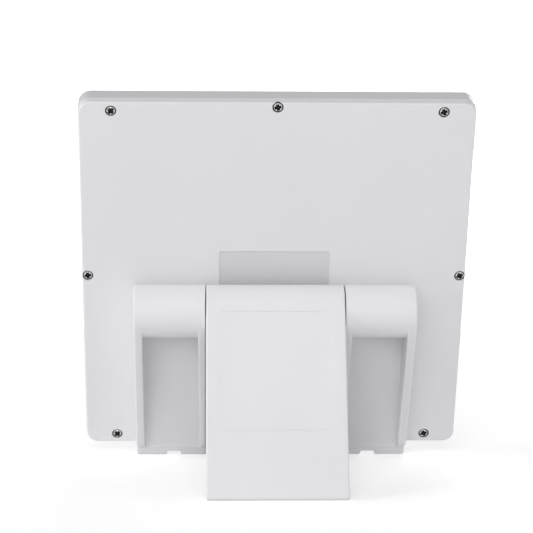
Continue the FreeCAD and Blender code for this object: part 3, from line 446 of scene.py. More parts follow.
def white_plastic(name, tone, roughness):
    """Finely grained white ABS. Tone is its colour, roughness its average gloss."""
    finish = Finish(name, ior=1.53)
    grain = finish.noise(GRAIN_SCALE, 2.0, 0.6)
    ripple = finish.noise(RIPPLE_SCALE, 1.0)
    patches = finish.ramp(finish.noise(PATCH_SCALE, 3.0), (0.35, 0.0), (0.7, 1.0))
    rubbed = finish.ramp(finish.noise(RUBBED_SCALE, 4.0, 0.65), (0.45, 0.0), (0.8, 1.0))
    dulled = tuple(level * share for level, share in zip(tone, DULLED))
    finish.set(base_color=finish.blend(patches * 0.7 + rubbed * 0.3, tone, dulled))
    finish.set(roughness=roughness + 0.07 * patches - 0.05 * rubbed)
    slow = finish.bump(ripple, RIPPLE_DEPTH)
    finish.set(normal=finish.bump(grain, GRAIN_DEPTH, Normal=slow))
    return finish.material


cover_white = white_plastic("cover white", colour(0.83, 0.83, 0.845), 0.44)
frame_white = white_plastic("frame white", colour(0.72, 0.72, 0.73), 0.4)
stand_white = white_plastic("stand white", colour(0.84, 0.84, 0.85), 0.42)
button_white = white_plastic("button white", colour(0.82, 0.82, 0.83), 0.33)

# %% [markdown]
# ## Metals
# The screws are nickel-plated steel, turned and rolled, so they get a fine streak and a darker oxide in
# patches.
# Their collars and driver crosses are painted near-black, as painted shade for the deep gap round each head
# and the cross recess. The pin and the hidden screws are plain bright steel, and the socket is folded sheet
# with a brushed grain along its length.

# %% Metals
def metal(name, tone, dark, roughness, streaks):
    finish = Finish(name, metallic=1.0)
    oxide = finish.ramp(finish.noise(900, 4.0, 0.7), (0.4, 0.0), (0.75, 1.0))
    streak = finish.noise(600, 2.0, 0.5, finish.here(streaks))
    finish.set(base_color=finish.blend(oxide * 0.6, tone, dark))
    finish.set(roughness=roughness + 0.18 * oxide + 0.1 * streak)
    finish.set(normal=finish.bump(streak, 0.000008))
    return finish.material


screw_nickel = metal("screw nickel", colour(0.78, 0.78, 0.77), colour(0.5, 0.5, 0.49), 0.26, (1, 6, 1))
# Painted shade: a near-black finish for the screws' collars and cross recesses, in place of the shade in the
# deep gap and recess.
screw_shadow = metal("screw painted shade", colour(0.03, 0.03, 0.03), colour(0.015, 0.015, 0.015), 0.5, (1, 6, 1))
pin_steel = metal("pin steel", colour(0.62, 0.62, 0.63), colour(0.4, 0.4, 0.41), 0.22, (12, 1, 1))
zinc = metal("zinc", colour(0.58, 0.6, 0.62), colour(0.36, 0.38, 0.4), 0.32, (1, 1, 8))
socket_steel = metal("socket steel", colour(0.6, 0.6, 0.61), colour(0.34, 0.34, 0.35), 0.28, (1, 10, 10))

# %% [markdown]
# ## Foil, opal sheet and the rest
# The rating label is matt silver foil, left bare. Its grey is mostly paint-like, so it is only a quarter
# metallic, with fine rolling lines along it. The diffuser is opal acrylic: white, silky, and a little
# deeper than its surface, which a touch of subsurface light gives.

# %% Foil and opal sheet
label_finish = Finish("label foil", metallic=0.25, ior=1.5)
rolling = label_finish.noise(220, 3.0, 0.6, label_finish.here((1, 26, 26)))
smudge = label_finish.ramp(label_finish.noise(60, 3.0), (0.4, 0.0), (0.75, 1.0))
label_finish.set(base_color=label_finish.blend(smudge * 0.5 + rolling * 0.3, colour(0.72, 0.72, 0.735),
                                               colour(0.66, 0.66, 0.675)))
label_finish.set(roughness=0.42 + 0.1 * smudge + 0.06 * rolling)
label_finish.set(normal=label_finish.bump(rolling, 0.000004))
label_foil = label_finish.material

opal_finish = Finish("opal sheet", ior=1.49, subsurface_weight=0.25, subsurface_scale=0.002,
                     subsurface_radius=(1.0, 1.0, 1.0))
cloud = opal_finish.noise(45, 2.0)
opal_finish.set(base_color=opal_finish.blend(cloud * 0.4, colour(0.86, 0.87, 0.86), colour(0.83, 0.84, 0.84)))
opal_finish.set(roughness=0.3 + 0.08 * cloud)
opal_finish.set(normal=opal_finish.bump(opal_finish.noise(2600, 2.0), 0.000008))
opal = opal_finish.material

# %% [markdown]
# The inside of the lamp hardly shows, but the model can be opened, so its parts have simple true finishes:
# clear acrylic, white film, circuit board with faint tracks under its lacquer, yellow lamps, black mouldings
# and red insulation.

# %% Inner finishes
def lacquered(name, tone, second, scale, roughness, depth, **constants):
    """A tone that drifts into a second one, with a matching unevenness in its gloss and surface."""
    finish = Finish(name, **constants)
    drift = finish.noise(scale, 3.0, 0.6)
    finish.set(base_color=finish.blend(drift, tone, second), roughness=roughness + 0.15 * drift)
    finish.set(normal=finish.bump(drift, depth))
    return finish.material


def circuit_board(name, mask, copper):
    """Solder mask over straight tracks: bands of a brick pattern show through it."""
    finish = Finish(name, ior=1.55)
    tracks = finish.node("TexBrick", {"offset": 0.3}, {
        "Vector": finish.here(), "Scale": 160.0, "Color1": colour(0, 0, 0), "Color2": colour(0, 0, 0),
        "Mortar": colour(1, 1, 1), "Mortar Size": 0.06, "Brick Width": 1.4, "Row Height": 0.3})
    finish.set(base_color=finish.blend(tracks, mask, copper), roughness=0.3 + 0.1 * tracks)
    finish.set(normal=finish.bump(tracks, 0.00004))
    return finish.material


clear_acrylic = lacquered("clear acrylic", colour(0.93, 0.96, 0.96), colour(0.9, 0.94, 0.94), 30, 0.05,
                          0.000004, ior=1.49, transmission_weight=0.8)
white_film = lacquered("white film", colour(0.88, 0.88, 0.88), colour(0.85, 0.85, 0.85), 80, 0.35, 0.00001)
phosphor = lacquered("phosphor", colour(0.86, 0.62, 0.12), colour(0.8, 0.52, 0.08), 1500, 0.35, 0.00002)
black_mould = lacquered("black mould", colour(0.03, 0.03, 0.033), colour(0.045, 0.045, 0.05), 1800, 0.4,
                        0.00002)
red_skin = lacquered("red insulation", colour(0.5, 0.03, 0.025), colour(0.42, 0.02, 0.02), 700, 0.35, 0.00001)
nylon = lacquered("nylon", colour(0.62, 0.62, 0.6), colour(0.56, 0.56, 0.54), 900, 0.4, 0.00002)
gold = metal("gold contacts", colour(0.83, 0.6, 0.24), colour(0.66, 0.45, 0.16), 0.25, (1, 4, 1))
green_board = circuit_board("green board", colour(0.012, 0.12, 0.05), colour(0.03, 0.2, 0.08))
white_board = circuit_board("white board", colour(0.82, 0.82, 0.78), colour(0.7, 0.69, 0.63))

finished_nodes = {
    opal: ["diffuser"],
    clear_acrylic: ["light_guide"],
    white_film: ["reflector_sheet"],
    white_board: ["led_strip_left", "led_strip_right"],
    phosphor: ["led_chips_left", "led_chips_right"],
    green_board: ["control_board"],
    black_mould: ["board_parts", "brightness_switch"],
    red_skin: ["led_leads"],
    zinc: ["stand_screws"],
    pin_steel: ["hinge_pin"],
    nylon: ["friction_washer_left", "friction_washer_right"],
}
for finish_used, node_names in finished_nodes.items():
    for node_name in node_names:
        node = frame["nodes"][node_name]
        node.data.materials.clear()
        node.data.materials.append(finish_used)
    print(finish_used.name, "goes on", *node_names)

# %% [markdown]
# ## The back cover
# The cover is a shallow tray, injection moulded in one piece: a flat back, a side band of four
# millimetres and a softly rounded edge. It is a little smaller than the frame that it closes, and its side
# leans in, so that the mould lets go and a fine ledge shows all round. Eight screws sit in round sunk
# seats, and the label lies in a shallow recess. A turned cutter leaves each seat with a rounded rim,
# because a knife-sharp rim would catch no light and look drawn on.

# %% Back cover
PANEL_SIDE = 190.0
CORNER_RADIUS = 6.0
SHELL_WALL = 1.8
COVER_RIM = 4.2
COVER_PLATE = 2.0
COVER_ROUND = 0.6
COVER_LEDGE = 0.3
COVER_DRAFT = 0.2
SEAT_DIAMETER = 5.4
SEAT_DEPTH = 1.15
SEAT_ROUND = 0.18
SEAT_STEPS = 4
CORNER_SCREW = (79.1, 89.9)
EDGE_SCREW = 92.0
SIDE_SCREW_RISE = 2.1
LABEL = {"width": 54.0, "height": 20.0, "thickness": 0.2, "top": 15.3, "radius": 0.6}
RECESS_GAP = 0.35
RECESS_DEPTH = 0.45

screw_places = [(across * CORNER_SCREW[0], up * CORNER_SCREW[1]) for across in (-1, 1) for up in (-1, 1)]
screw_places += [(0, up * EDGE_SCREW) for up in (-1, 1)]
screw_places += [(across * EDGE_SCREW, SIDE_SCREW_RISE) for across in (-1, 1)]


def seat_cutter():
    """A turned cutter that leaves a flat-bottomed seat with a rounded rim."""
    wide = SEAT_DIAMETER / 2 + SEAT_ROUND
    section = [(0.0, SEAT_DEPTH), (wide, SEAT_DEPTH)]
    section += [(wide - SEAT_ROUND * math.sin(swing), -SEAT_ROUND * (1 - math.cos(swing)))
                for swing in quarter_turn(SEAT_STEPS)]
    section += [(SEAT_DIAMETER / 2, -SEAT_DEPTH), (0.0, -SEAT_DEPTH)]
    return spun(section)


def label_sheet(bm, spare, thickness):
    """The label's outline, grown by spare, as a block that stands on the floor of the recess."""
    middle = LABEL["top"] - LABEL["height"] / 2
    sheet = rounded_rectangle(bm, LABEL["width"] + 2 * spare, LABEL["height"] + 2 * spare,
                              LABEL["radius"] + spare, at(y=middle, z=-RECESS_DEPTH))
    push(bm, sheet, (0, 0, thickness))
    turn_outward(bm)


def back_cover():
    bm = bmesh.new()
    side = PANEL_SIDE - 2 * COVER_LEDGE
    inner_face = rounded_rectangle(bm, side, side, CORNER_RADIUS - COVER_LEDGE, at(z=-COVER_RIM))
    back = push(bm, inner_face, (0, 0, COVER_RIM))
    drawn_in = 1 - 2 * COVER_DRAFT / side
    bmesh.ops.scale(bm, verts=back.verts, vec=(drawn_in, drawn_in, 1))
    turn_outward(bm)
    round_off(bm, edges_with(bm, lambda place: place.z > -CLOSE), COVER_ROUND, steps=6)
    hollow_out(bm, (0, 0, -1), SHELL_WALL, COVER_RIM - COVER_PLATE)
    cutters = repeated(seat_cutter(), [at(*place) for place in screw_places])
    label_sheet(cutters, RECESS_GAP, 2 * RECESS_DEPTH)
    return combine(bm, cutters, "DIFFERENCE")


hand_over(back_cover(), "back_cover_shell", panel_bench, cover_white, "shell", "panel", "back_cover")

# %% [markdown]
# ## Screws
# A pan-head screw is a turned shape, so its section is drawn once and spun about its axis. The driver
# cross is one arm, drawn four times round the axis, pushed down with a taper and cut out with the exact
# Boolean. One screw is made, and the eight copies are turned by different angles, as real screws stop
# where they stop.

# %% One screw
HEAD_RADIUS = 2.1
HEAD_HEIGHT = 0.9
HEAD_DROP = 0.55
HEAD_STEPS = 7
COLLAR_RADIUS = 2.6
COLLAR_HEIGHT = 0.35
COLLAR_CHAMFER = 0.08
COLLAR_SPARE = 0.05
SHANK_RADIUS = 1.0
SHANK_LENGTH = 6.0
CROSS_LENGTH = 3.4
CROSS_WIDTH = 1.6
CROSS_DEPTH = 0.8
CROSS_TAPER = 0.75
CROSS_ROUND = 0.12
CROSS_SPARE = 0.02
CUTTER_PROUD = 0.05
THREAD_PITCH = 0.8
THREAD_DEPTH = 0.22
THREAD_ROOT = 0.3
THREAD_CREST = 0.8
SCREW_TURNS = (45, 45, 20, 22, 0, 12, 8, 30)


def cross_cutter():
    """A tapered cross with rounded arms."""
    bm = bmesh.new()
    half, reach = CROSS_WIDTH / 2, CROSS_LENGTH / 2
    wire = [bm.verts.new(Matrix.Rotation(turn * math.pi / 2, 3, "Z") @ Vector((*corner, 0)))
            for turn in range(4) for corner in ((half, half), (half, reach), (-half, reach))]
    bm.faces.new(wire)
    bevel_corners(bm, wire[1::3] + wire[2::3], CROSS_ROUND, CORNER_STEPS)
    bmesh.ops.translate(bm, verts=bm.verts, vec=(0, 0, HEAD_HEIGHT + CUTTER_PROUD))
    tip = push(bm, bm.faces[:][0], (0, 0, -CROSS_DEPTH))
    bmesh.ops.scale(bm, verts=tip.verts, vec=(CROSS_TAPER, CROSS_TAPER, 1))
    return bm


def screw():
    section = [(0.0, HEAD_HEIGHT)]
    flat = HEAD_RADIUS - HEAD_DROP
    for swing in quarter_turn(HEAD_STEPS):
        section.append((flat + HEAD_DROP * math.sin(swing), HEAD_HEIGHT - HEAD_DROP * (1 - math.cos(swing))))
    section += [(HEAD_RADIUS, COLLAR_HEIGHT), (COLLAR_RADIUS - COLLAR_CHAMFER, COLLAR_HEIGHT),
                (COLLAR_RADIUS, COLLAR_HEIGHT - COLLAR_CHAMFER), (COLLAR_RADIUS, 0.0), (SHANK_RADIUS, 0.0)]
    for turn in range(int(SHANK_LENGTH / THREAD_PITCH)):
        top = -turn * THREAD_PITCH
        section.append((SHANK_RADIUS - THREAD_DEPTH, top - THREAD_ROOT * THREAD_PITCH))
        section.append((SHANK_RADIUS, top - THREAD_CREST * THREAD_PITCH))
    section.append((0.0, -SHANK_LENGTH))
    bm = combine(spun(section), cross_cutter(), "DIFFERENCE")
    # The cross recess and the collar get the near-black second finish: painted shade for the deep recess and
    # the gap round the head.
    for face in bm.faces:
        middle = face.calc_center_median()
        in_cross = middle.xy.length < CROSS_LENGTH / 2 and CROSS_SPARE < middle.z < HEAD_HEIGHT - CROSS_SPARE
        on_collar = middle.xy.length > HEAD_RADIUS - COLLAR_SPARE and middle.z < COLLAR_HEIGHT + CLOSE
        face.material_index = 1 if in_cross or on_collar else 0
    return bm


def screw_set():
    places = [at(x, y, -SEAT_DEPTH) @ Matrix.Rotation(math.radians(turn), 4, "Z")
              for (x, y), turn in zip(screw_places, SCREW_TURNS)]
    return repeated(screw(), places)


screws = hand_over(screw_set(), "cover_screw_set", panel_bench, screw_nickel, "screws", "panel",
                   "cover_screws")
# The second slot holds the painted shade of the collars and cross recesses.
screws.data.materials.append(screw_shadow)

# %% [markdown]
# ## The front frame
# The frame is the other half of the casing: side walls, a border and a window for the opal sheet. It is
# the same push and round as the cover, but hollowed from behind and pierced twice: the window goes
# through the border, and two slots for the button and the socket go through the right-hand wall. Where
# an opening passes right through a wall, both faces are pierced and the two rims are bridged.

# %% Front frame
PANEL_DEPTH = 14.0
FRAME_TOP = -4.25
FRAME_ROUND = 0.15
BEZEL_PLATE = 1.5
BEZEL_ROUND = 1.2
BEZEL_WIDTH = 12.0
WINDOW_RADIUS = 3.0
WINDOW_ROUND = 0.35
SOCKET = {"y": -66.0, "z": -7.7, "width": 7.6, "height": 2.6, "gap": 0.2, "corner": 0.7}
BUTTON = {"y": -38.0, "z": -7.3, "width": 9.0, "height": 3.2, "gap": 0.3, "corner": 1.1}


def side_outline(bm, control, x, spare):
    """The rounded outline of the button or the socket in the plane of a side wall, grown by spare."""
    upright = at(x, control["y"], control["z"]) @ Matrix.Rotation(math.pi / 2, 4, "Z")
    upright = upright @ Matrix.Rotation(math.pi / 2, 4, "X")
    return rounded_rectangle(bm, control["width"] + 2 * spare, control["height"] + 2 * spare,
                             control["corner"] + spare, upright)


def pierce_through(bm, outer, inner, make_openings):
    """Pierces two parallel walls with the same openings and bridges their rims."""
    outer_rims = pierce(bm, outer, *make_openings(outer.calc_center_median()))
    inner_rims = pierce(bm, inner, *make_openings(inner.calc_center_median()))
    for outer_rim, inner_rim in zip(outer_rims, inner_rims):
        bmesh.ops.bridge_loops(bm, edges=outer_rim + inner_rim)
    return outer_rims


def front_frame():
    bm = bmesh.new()
    front = rounded_rectangle(bm, PANEL_SIDE, PANEL_SIDE, CORNER_RADIUS, at(z=FRAME_TOP))
    push(bm, front, (0, 0, -PANEL_DEPTH - FRAME_TOP))
    turn_outward(bm)
    round_off(bm, edges_with(bm, lambda place: place.z < -PANEL_DEPTH + CLOSE), BEZEL_ROUND, steps=6)
    round_off(bm, edges_with(bm, lambda place: place.z > FRAME_TOP - CLOSE), FRAME_ROUND, steps=2)
    floor = hollow_out(bm, (0, 0, 1), SHELL_WALL - FRAME_ROUND, FRAME_TOP + PANEL_DEPTH - BEZEL_PLATE)
    right_walls = [face for face in bm.faces
                   if abs(face.normal.x) > SQUARE_ON and face.calc_center_median().x > 0]
    right_walls.sort(key=lambda face: -face.calc_center_median().x)

    def slots(middle):
        return [side_outline(bm, control, middle.x, control["gap"]) for control in (SOCKET, BUTTON)]

    def window(middle):
        width = PANEL_SIDE - 2 * BEZEL_WIDTH
        return [rounded_rectangle(bm, width, width, WINDOW_RADIUS, at(z=middle.z))]

    pierce_through(bm, right_walls[0], right_walls[1], slots)
    rims = pierce_through(bm, flat_face(bm, (0, 0, -1)), floor, window)
    round_off(bm, rims[0], WINDOW_ROUND, steps=3)
    return bm


hand_over(front_frame(), "front_frame_shell", panel_bench, frame_white, "frame", "panel", "front_frame")

# %% [markdown]
# ## The legs
# Each leg is one deep channel that tapers to the foot and grows into half of the hinge. It is made as a
# toolmaker would think of it: a solid block with the leg's side view, rounded along its outer rim, then a
# long pocket cut into it, then the barrel put back across the pocket. The rims of the pocket are rounded
# before the barrel goes in, so that the barrel covers their ends. Both legs come from one mesh, mirrored.

# %% Leg sizes
LEG_NEAR = 34.3
LEG_FAR = 69.0
INNER_WALL = 3.5
OUTER_WALL = 4.2
POCKET_DRAFT = 1.3
BARREL_RADIUS = 13.0
FOOT_Y = -101.5
LEG_FLOOR = 2.0
FLOOR_RISE = 0.75
TAPER = math.radians(11.5)
TOE_Y = FOOT_Y + 3.9
TOE_HEIGHT = 3.0
TOE_LANDING = 1.3
LIP_REACH = 2.0
DROP_Y = FOOT_Y + 11.5
DROP_ROUND = 2.07
BASE_RISE = 6.0
RIM_ROUND = 0.8
INNER_ROUND = 0.8
POCKET_ROUND = 0.9
TOE_SWEEP = 4.0
SKY = 40.0

pocket_near = LEG_NEAR + INNER_WALL
pocket_far = LEG_FAR - OUTER_WALL
hinge_place = (HINGE_UP, HINGE_OUT)


def rim_height(y):
    """The rim is a straight line that touches the barrel."""
    return HINGE_OUT + (BARREL_RADIUS + (y - HINGE_UP) * math.sin(TAPER)) / math.cos(TAPER)


def leg_block():
    """The leg before its pocket is cut."""
    bm = bmesh.new()
    base_lift = HINGE_OUT - math.sqrt(BARREL_RADIUS ** 2 - BASE_RISE ** 2)
    lift_angle = math.atan2(base_lift - HINGE_OUT, BASE_RISE)
    around = math.pi / 2 + TAPER - lift_angle
    foot_slope = math.tan(LEAN)
    side_view(
        bm, LEG_NEAR,
        (FOOT_Y, 0),
        (HINGE_UP + BASE_RISE, 0),
        (HINGE_UP + BASE_RISE, base_lift),
        (hinge_place, around),
        (DROP_Y, rim_height(DROP_Y)),
        (TOE_Y + TOE_LANDING, TOE_HEIGHT),
        (FOOT_Y + TOE_HEIGHT * foot_slope, TOE_HEIGHT),
    )
    round_corner(bm, (LEG_NEAR, DROP_Y, rim_height(DROP_Y)), DROP_ROUND, steps=6)
    push(bm, bm.faces[:][0], (LEG_FAR - LEG_NEAR, 0, 0))
    turn_outward(bm)
    rim = edges_with(bm, lambda place: place.x > LEG_FAR - CLOSE)
    rim = [edge for edge in rim if max(end.co.z for end in edge.verts) > TOE_HEIGHT - CLOSE]
    rim += edges_with(bm, lambda place: place.y < FOOT_Y + LIP_REACH and place.z > TOE_HEIGHT - CLOSE)
    round_off(bm, list(dict.fromkeys(rim)), RIM_ROUND)
    return bm


def pocket_tool():
    bm = bmesh.new()
    floor = side_view(bm, pocket_near, (TOE_Y, LEG_FLOOR), (HINGE_UP, LEG_FLOOR), (HINGE_UP, SKY),
                      (TOE_Y, SKY))
    push(bm, floor, (pocket_far - pocket_near, 0, 0))
    turn_outward(bm)
    toe = edges_with(bm, lambda place: place.z < LEG_FLOOR + CLOSE and place.y < TOE_Y + CLOSE)
    round_off(bm, toe, TOE_SWEEP, steps=8)
    low = edges_with(bm, lambda place: place.z < LEG_FLOOR + TOE_SWEEP - CLOSE)
    round_off(bm, lengthwise(low), POCKET_ROUND)
    for vert in bm.verts:
        down = (HINGE_UP - vert.co.y) / (HINGE_UP - TOE_Y)
        across = (pocket_far - vert.co.x) / (pocket_far - pocket_near)
        vert.co.x -= POCKET_DRAFT * down * across
        vert.co.z += FLOOR_RISE * down
    return bm


channel = combine(leg_block(), pocket_tool(), "DIFFERENCE")
print("channel:", len(channel.faces), "faces")

# %% [markdown]
# Now the pocket's rims are rounded, and the barrel, the base flange beside the prop, the notch in the foot
# lip and the round seat of the hinge cap follow. The barrel is a half-round plug that goes a little into
# the block behind it, so that no two surfaces of the Boolean lie in each other.

# %% Barrel, flange, notch and cap seat
PLUG_DEPTH = 1.0
FLANGE_WIDTH = 3.7
FLANGE_GAP = 0.03
NOTCH_X = 49.9
NOTCH_HALF = (4.2, 3.2)
NOTCH_DEPTH = 2.0
NOTCH_HEIGHTS = (-1.0, 6.0)
CAP_DIAMETER = 10.0
CAP_GAP = 0.1
CAP_DEPTH = 2.0
OFF_THE_SIDES = 1.0
OFF_THE_TOE = 0.5
LEVEL, SIDEWAYS = 0.1, 0.9


def barrel():
    bm = bmesh.new()
    top = (HINGE_UP, HINGE_OUT + BARREL_RADIUS)
    plug = side_view(bm, pocket_near - INNER_ROUND, top, (hinge_place, math.pi),
                     (HINGE_UP + PLUG_DEPTH, HINGE_OUT - BARREL_RADIUS + PLUG_DEPTH),
                     (HINGE_UP + PLUG_DEPTH, HINGE_OUT + BARREL_RADIUS - PLUG_DEPTH))
    push(bm, plug, (pocket_far - pocket_near + 2 * INNER_ROUND, 0, 0))
    return bm


def flange():
    bm = bmesh.new()
    far_end = HINGE_UP - BARREL_RADIUS + LEG_FLOOR
    start = FOOT_Y + FLANGE_GAP
    face = side_view(bm, LEG_NEAR - FLANGE_WIDTH, (start, 0), (far_end, 0), (far_end, LEG_FLOOR),
                     (start + LEG_FLOOR * math.tan(LEAN), LEG_FLOOR))
    push(bm, face, (FLANGE_WIDTH + INNER_WALL / 2, 0, 0))
    return bm


def notch_and_cap_seat():
    bm = bmesh.new()
    corner_y = FOOT_Y + TOE_HEIGHT * math.tan(LEAN)
    low, high = corner_y - 2 * NOTCH_DEPTH, corner_y + NOTCH_DEPTH
    wide = NOTCH_HALF[0] * 2 - NOTCH_HALF[1]
    corners = [(-wide, low), (wide, low), (NOTCH_HALF[1], high), (-NOTCH_HALF[1], high)]
    wire = [bm.verts.new((NOTCH_X + x, y, NOTCH_HEIGHTS[0])) for x, y in corners]
    push(bm, bm.faces.new(wire), (0, 0, NOTCH_HEIGHTS[1] - NOTCH_HEIGHTS[0]))
    facing = at(LEG_FAR - CAP_DEPTH, HINGE_UP, HINGE_OUT) @ Matrix.Rotation(math.pi / 2, 4, "Y")
    push(bm, disc(bm, CAP_DIAMETER + 2 * CAP_GAP, facing), (2 * CAP_DEPTH, 0, 0))
    return bm


def inner_rims(bm):
    """Edges where the pocket's side walls meet the rim, over the channel and up to the top of the barrel."""
    bm.normal_update()
    rims = []
    for edge in bm.edges:
        leans = sorted(abs(face.normal.x) for face in edge.link_faces)
        ends = [end.co for end in edge.verts]
        inside = all(LEG_NEAR + OFF_THE_SIDES < end.x < LEG_FAR - OFF_THE_SIDES
                     and end.z > TOE_HEIGHT + OFF_THE_TOE for end in ends)
        lower, upper = sorted(end.y for end in ends)
        below_top = upper < HINGE_UP + CLOSE and lower < HINGE_UP - CLOSE
        if inside and below_top and leans[0] < LEVEL and leans[1] > SIDEWAYS:
            rims.append(edge)
    return rims


def leg(side):
    bm = channel.copy()
    round_off(bm, inner_rims(bm), INNER_ROUND)
    bm = combine(bm, barrel(), "UNION")
    bm = combine(bm, flange(), "UNION")
    bm = combine(bm, notch_and_cap_seat(), "DIFFERENCE")
    bmesh.ops.scale(bm, vec=(side, 1, 1), verts=bm.verts)
    return bm


SIDES = ((-1, "left"), (1, "right"))
for side, word in SIDES:
    hand_over(leg(side), f"{word}_leg_shell", panel_bench, stand_white, "stand", "panel", f"{word}_leg")

# %% [markdown]
# ## Hinge caps
# A push-in cap closes the end of each barrel. It is turned: a slightly dished face with a rounded edge.

# %% Hinge caps
CAP_DISH = ((0.0, -0.25), (0.55, -0.25), (0.72, -0.12), (0.8, 0.0))
CAP_ROUND = 0.4
CAP_STEPS = 5


def hinge_cap(side):
    radius = CAP_DIAMETER / 2
    section = [(radius * share, height) for share, height in CAP_DISH]
    for swing in quarter_turn(CAP_STEPS):
        section.append((radius - CAP_ROUND * (1 - math.sin(swing)), -CAP_ROUND * (1 - math.cos(swing))))
    section += [(radius, -CAP_DEPTH), (0.0, -CAP_DEPTH)]
    bm = spun(section)
    outward = Matrix.Rotation(side * math.pi / 2, 4, "Y")
    bmesh.ops.transform(bm, matrix=at(side * LEG_FAR, HINGE_UP, HINGE_OUT) @ outward, verts=bm.verts)
    return bm


for side, word in SIDES:
    hand_over(hinge_cap(side), f"hinge_cap_{word}_turned", panel_bench, stand_white, "stand", "panel",
              f"hinge_cap_{word}")

# %% [markdown]
# ## The prop
# The prop is modelled about its own hinge axis. Its side view is the knuckle, most of a circle, that runs
# tangent into a long flat plate. The plate's face has a shallow field that steps down at its top, slopes in
# from its sides and dips at its low end. Its underside is cored out between ribs, as any moulding of this
# size is, so that it stays stiff and shrinks evenly.

# %% Prop
PROP_HALF = 33.8
PROP_THICKNESS = 5.0
PROP_LENGTH = 97.56
PROP_ROUND = 0.8
NECK_ROUND = 3.0
TIP_ROUND = 1.8
FIELD = {"inset": 5.3, "start": 4.0, "length": 59.7, "depth": 0.4, "corner": 1.6, "rim": 0.12,
         "narrowing": 0.78, "dip": 0.45, "dip_length": 1.3}
PROP_WALL = 2.2
PROP_RIB = 1.4
CORE_DEPTH = 2.8
CORE_START = -17.0
CORE_CORNER = 0.5
CORE_ROWS = 4

inner_end = -PROP_LENGTH + PROP_THICKNESS * math.tan(PROP_ANGLE - LEAN)


def prop_block():
    bm = bmesh.new()
    underside = BARREL_RADIUS - PROP_THICKNESS
    neck_z = underside - NECK_ROUND
    neck_y = -math.sqrt((BARREL_RADIUS + NECK_ROUND) ** 2 - neck_z ** 2)
    meeting = math.atan2(neck_z, neck_y)
    around = 2 * math.pi - (meeting - math.pi / 2)
    side_view(bm, -PROP_HALF, (neck_y, underside), ((neck_y, neck_z), meeting - math.pi * 1.5),
              ((0.0, 0.0), around), (-PROP_LENGTH, BARREL_RADIUS), (inner_end, underside))
    slide = TIP_ROUND / math.tan((math.pi / 2 - PROP_ANGLE + LEAN) / 2)
    round_corner(bm, (-PROP_HALF, -PROP_LENGTH, BARREL_RADIUS), slide, steps=8)
    push(bm, bm.faces[:][0], (2 * PROP_HALF, 0, 0))
    turn_outward(bm)
    sides = edges_with(bm, lambda place: abs(place.x) > PROP_HALF - CLOSE)
    round_off(bm, lengthwise(sides), PROP_ROUND)
    return bm


def spans(places):
    """The stretches between neighbouring places, less half a rib at each inner place."""
    inner = places[1:-1]
    half_rib = PROP_RIB / 2
    return [(low + half_rib * (low in inner), high - half_rib * (high in inner))
            for low, high in zip(places, places[1:])]


def core_cells(bm, z):
    """The pockets between the ribs, three across and four along."""
    low = inner_end + PROP_WALL
    reach = PROP_HALF - PROP_WALL
    columns = spans([-reach, -PROP_HALF / 3, PROP_HALF / 3, reach])
    rows = spans([low + (CORE_START - low) * row / CORE_ROWS for row in range(CORE_ROWS + 1)])
    return [rounded_rectangle(bm, x1 - x0, y1 - y0, CORE_CORNER, at((x0 + x1) / 2, (y0 + y1) / 2, z))
            for x0, x1 in columns for y0, y1 in rows]


def dip_end(bm, corners, low_end):
    """Lets the last stretch of the field's floor dip towards its low end."""
    floor = next(face for face in bm.faces if set(face.verts) == corners)
    start = low_end + FIELD["dip_length"]
    split = bmesh.ops.bisect_plane(bm, geom=[floor, *floor.edges, *floor.verts], plane_co=(0, start, 0),
                                   plane_no=(0, 1, 0))
    for vert in {part for part in split["geom"] if isinstance(part, bmesh.types.BMVert)}:
        vert.co.z -= FIELD["dip"] * max(0.0, start - vert.co.y) / FIELD["dip_length"]


def prop():
    bm = prop_block()
    face = flat_face(bm, (0, 0, 1))
    field_middle = -FIELD["start"] - FIELD["length"] / 2
    field = rounded_rectangle(bm, 2 * (PROP_HALF - FIELD["inset"]), FIELD["length"], FIELD["corner"],
                              at(0, field_middle, BARREL_RADIUS))
    rims = pierce(bm, face, field)
    floor_rim = sink(bm, rims[0], (0, 0, -FIELD["depth"]))
    floor_corners = list({end for edge in floor_rim for end in edge.verts})
    bmesh.ops.scale(bm, verts=floor_corners, vec=(FIELD["narrowing"], 1, 1))
    dip_end(bm, set(floor_corners), field_middle - FIELD["length"] / 2)
    round_off(bm, rims[0], FIELD["rim"], steps=3)
    under = flat_face(bm, (0, 0, -1))
    for rim in pierce(bm, under, *core_cells(bm, BARREL_RADIUS - PROP_THICKNESS)):
        sink(bm, rim, (0, 0, CORE_DEPTH))
    return bm


hand_over(prop(), "prop_shell", prop_bench, stand_white, "stand", "prop", "prop_leg")

# %% [markdown]
# ## Label, button and socket
# The label is a thin sheet with round corners, lying in its recess. The button is an oblong key with a
# soft face. The socket is a folded steel shell with a tongue and four contacts in it.

# %% Label
LABEL_LIFT = 0.005
LABEL_ROUND = 0.06


def label():
    bm = bmesh.new()
    label_sheet(bm, 0, LABEL["thickness"] - 2 * LABEL_LIFT)
    bmesh.ops.translate(bm, verts=bm.verts, vec=(0, 0, LABEL_LIFT))
    face_rim = edges_with(bm, lambda place: place.z > LABEL["thickness"] / 2 - RECESS_DEPTH)
    round_off(bm, face_rim, LABEL_ROUND, steps=2)
    return bm


hand_over(label(), "label_foil", panel_bench, label_foil, "label", "panel", "rating_label")


# %% Button
BUTTON_PROUD = 0.5
BUTTON_ROUND = 0.4
BUTTON_FLANGE = (92.0, 92.8)
BUTTON_LAP = 1.1
DIMPLE = {"inset": 0.95, "depth": 0.2, "round": 0.08}


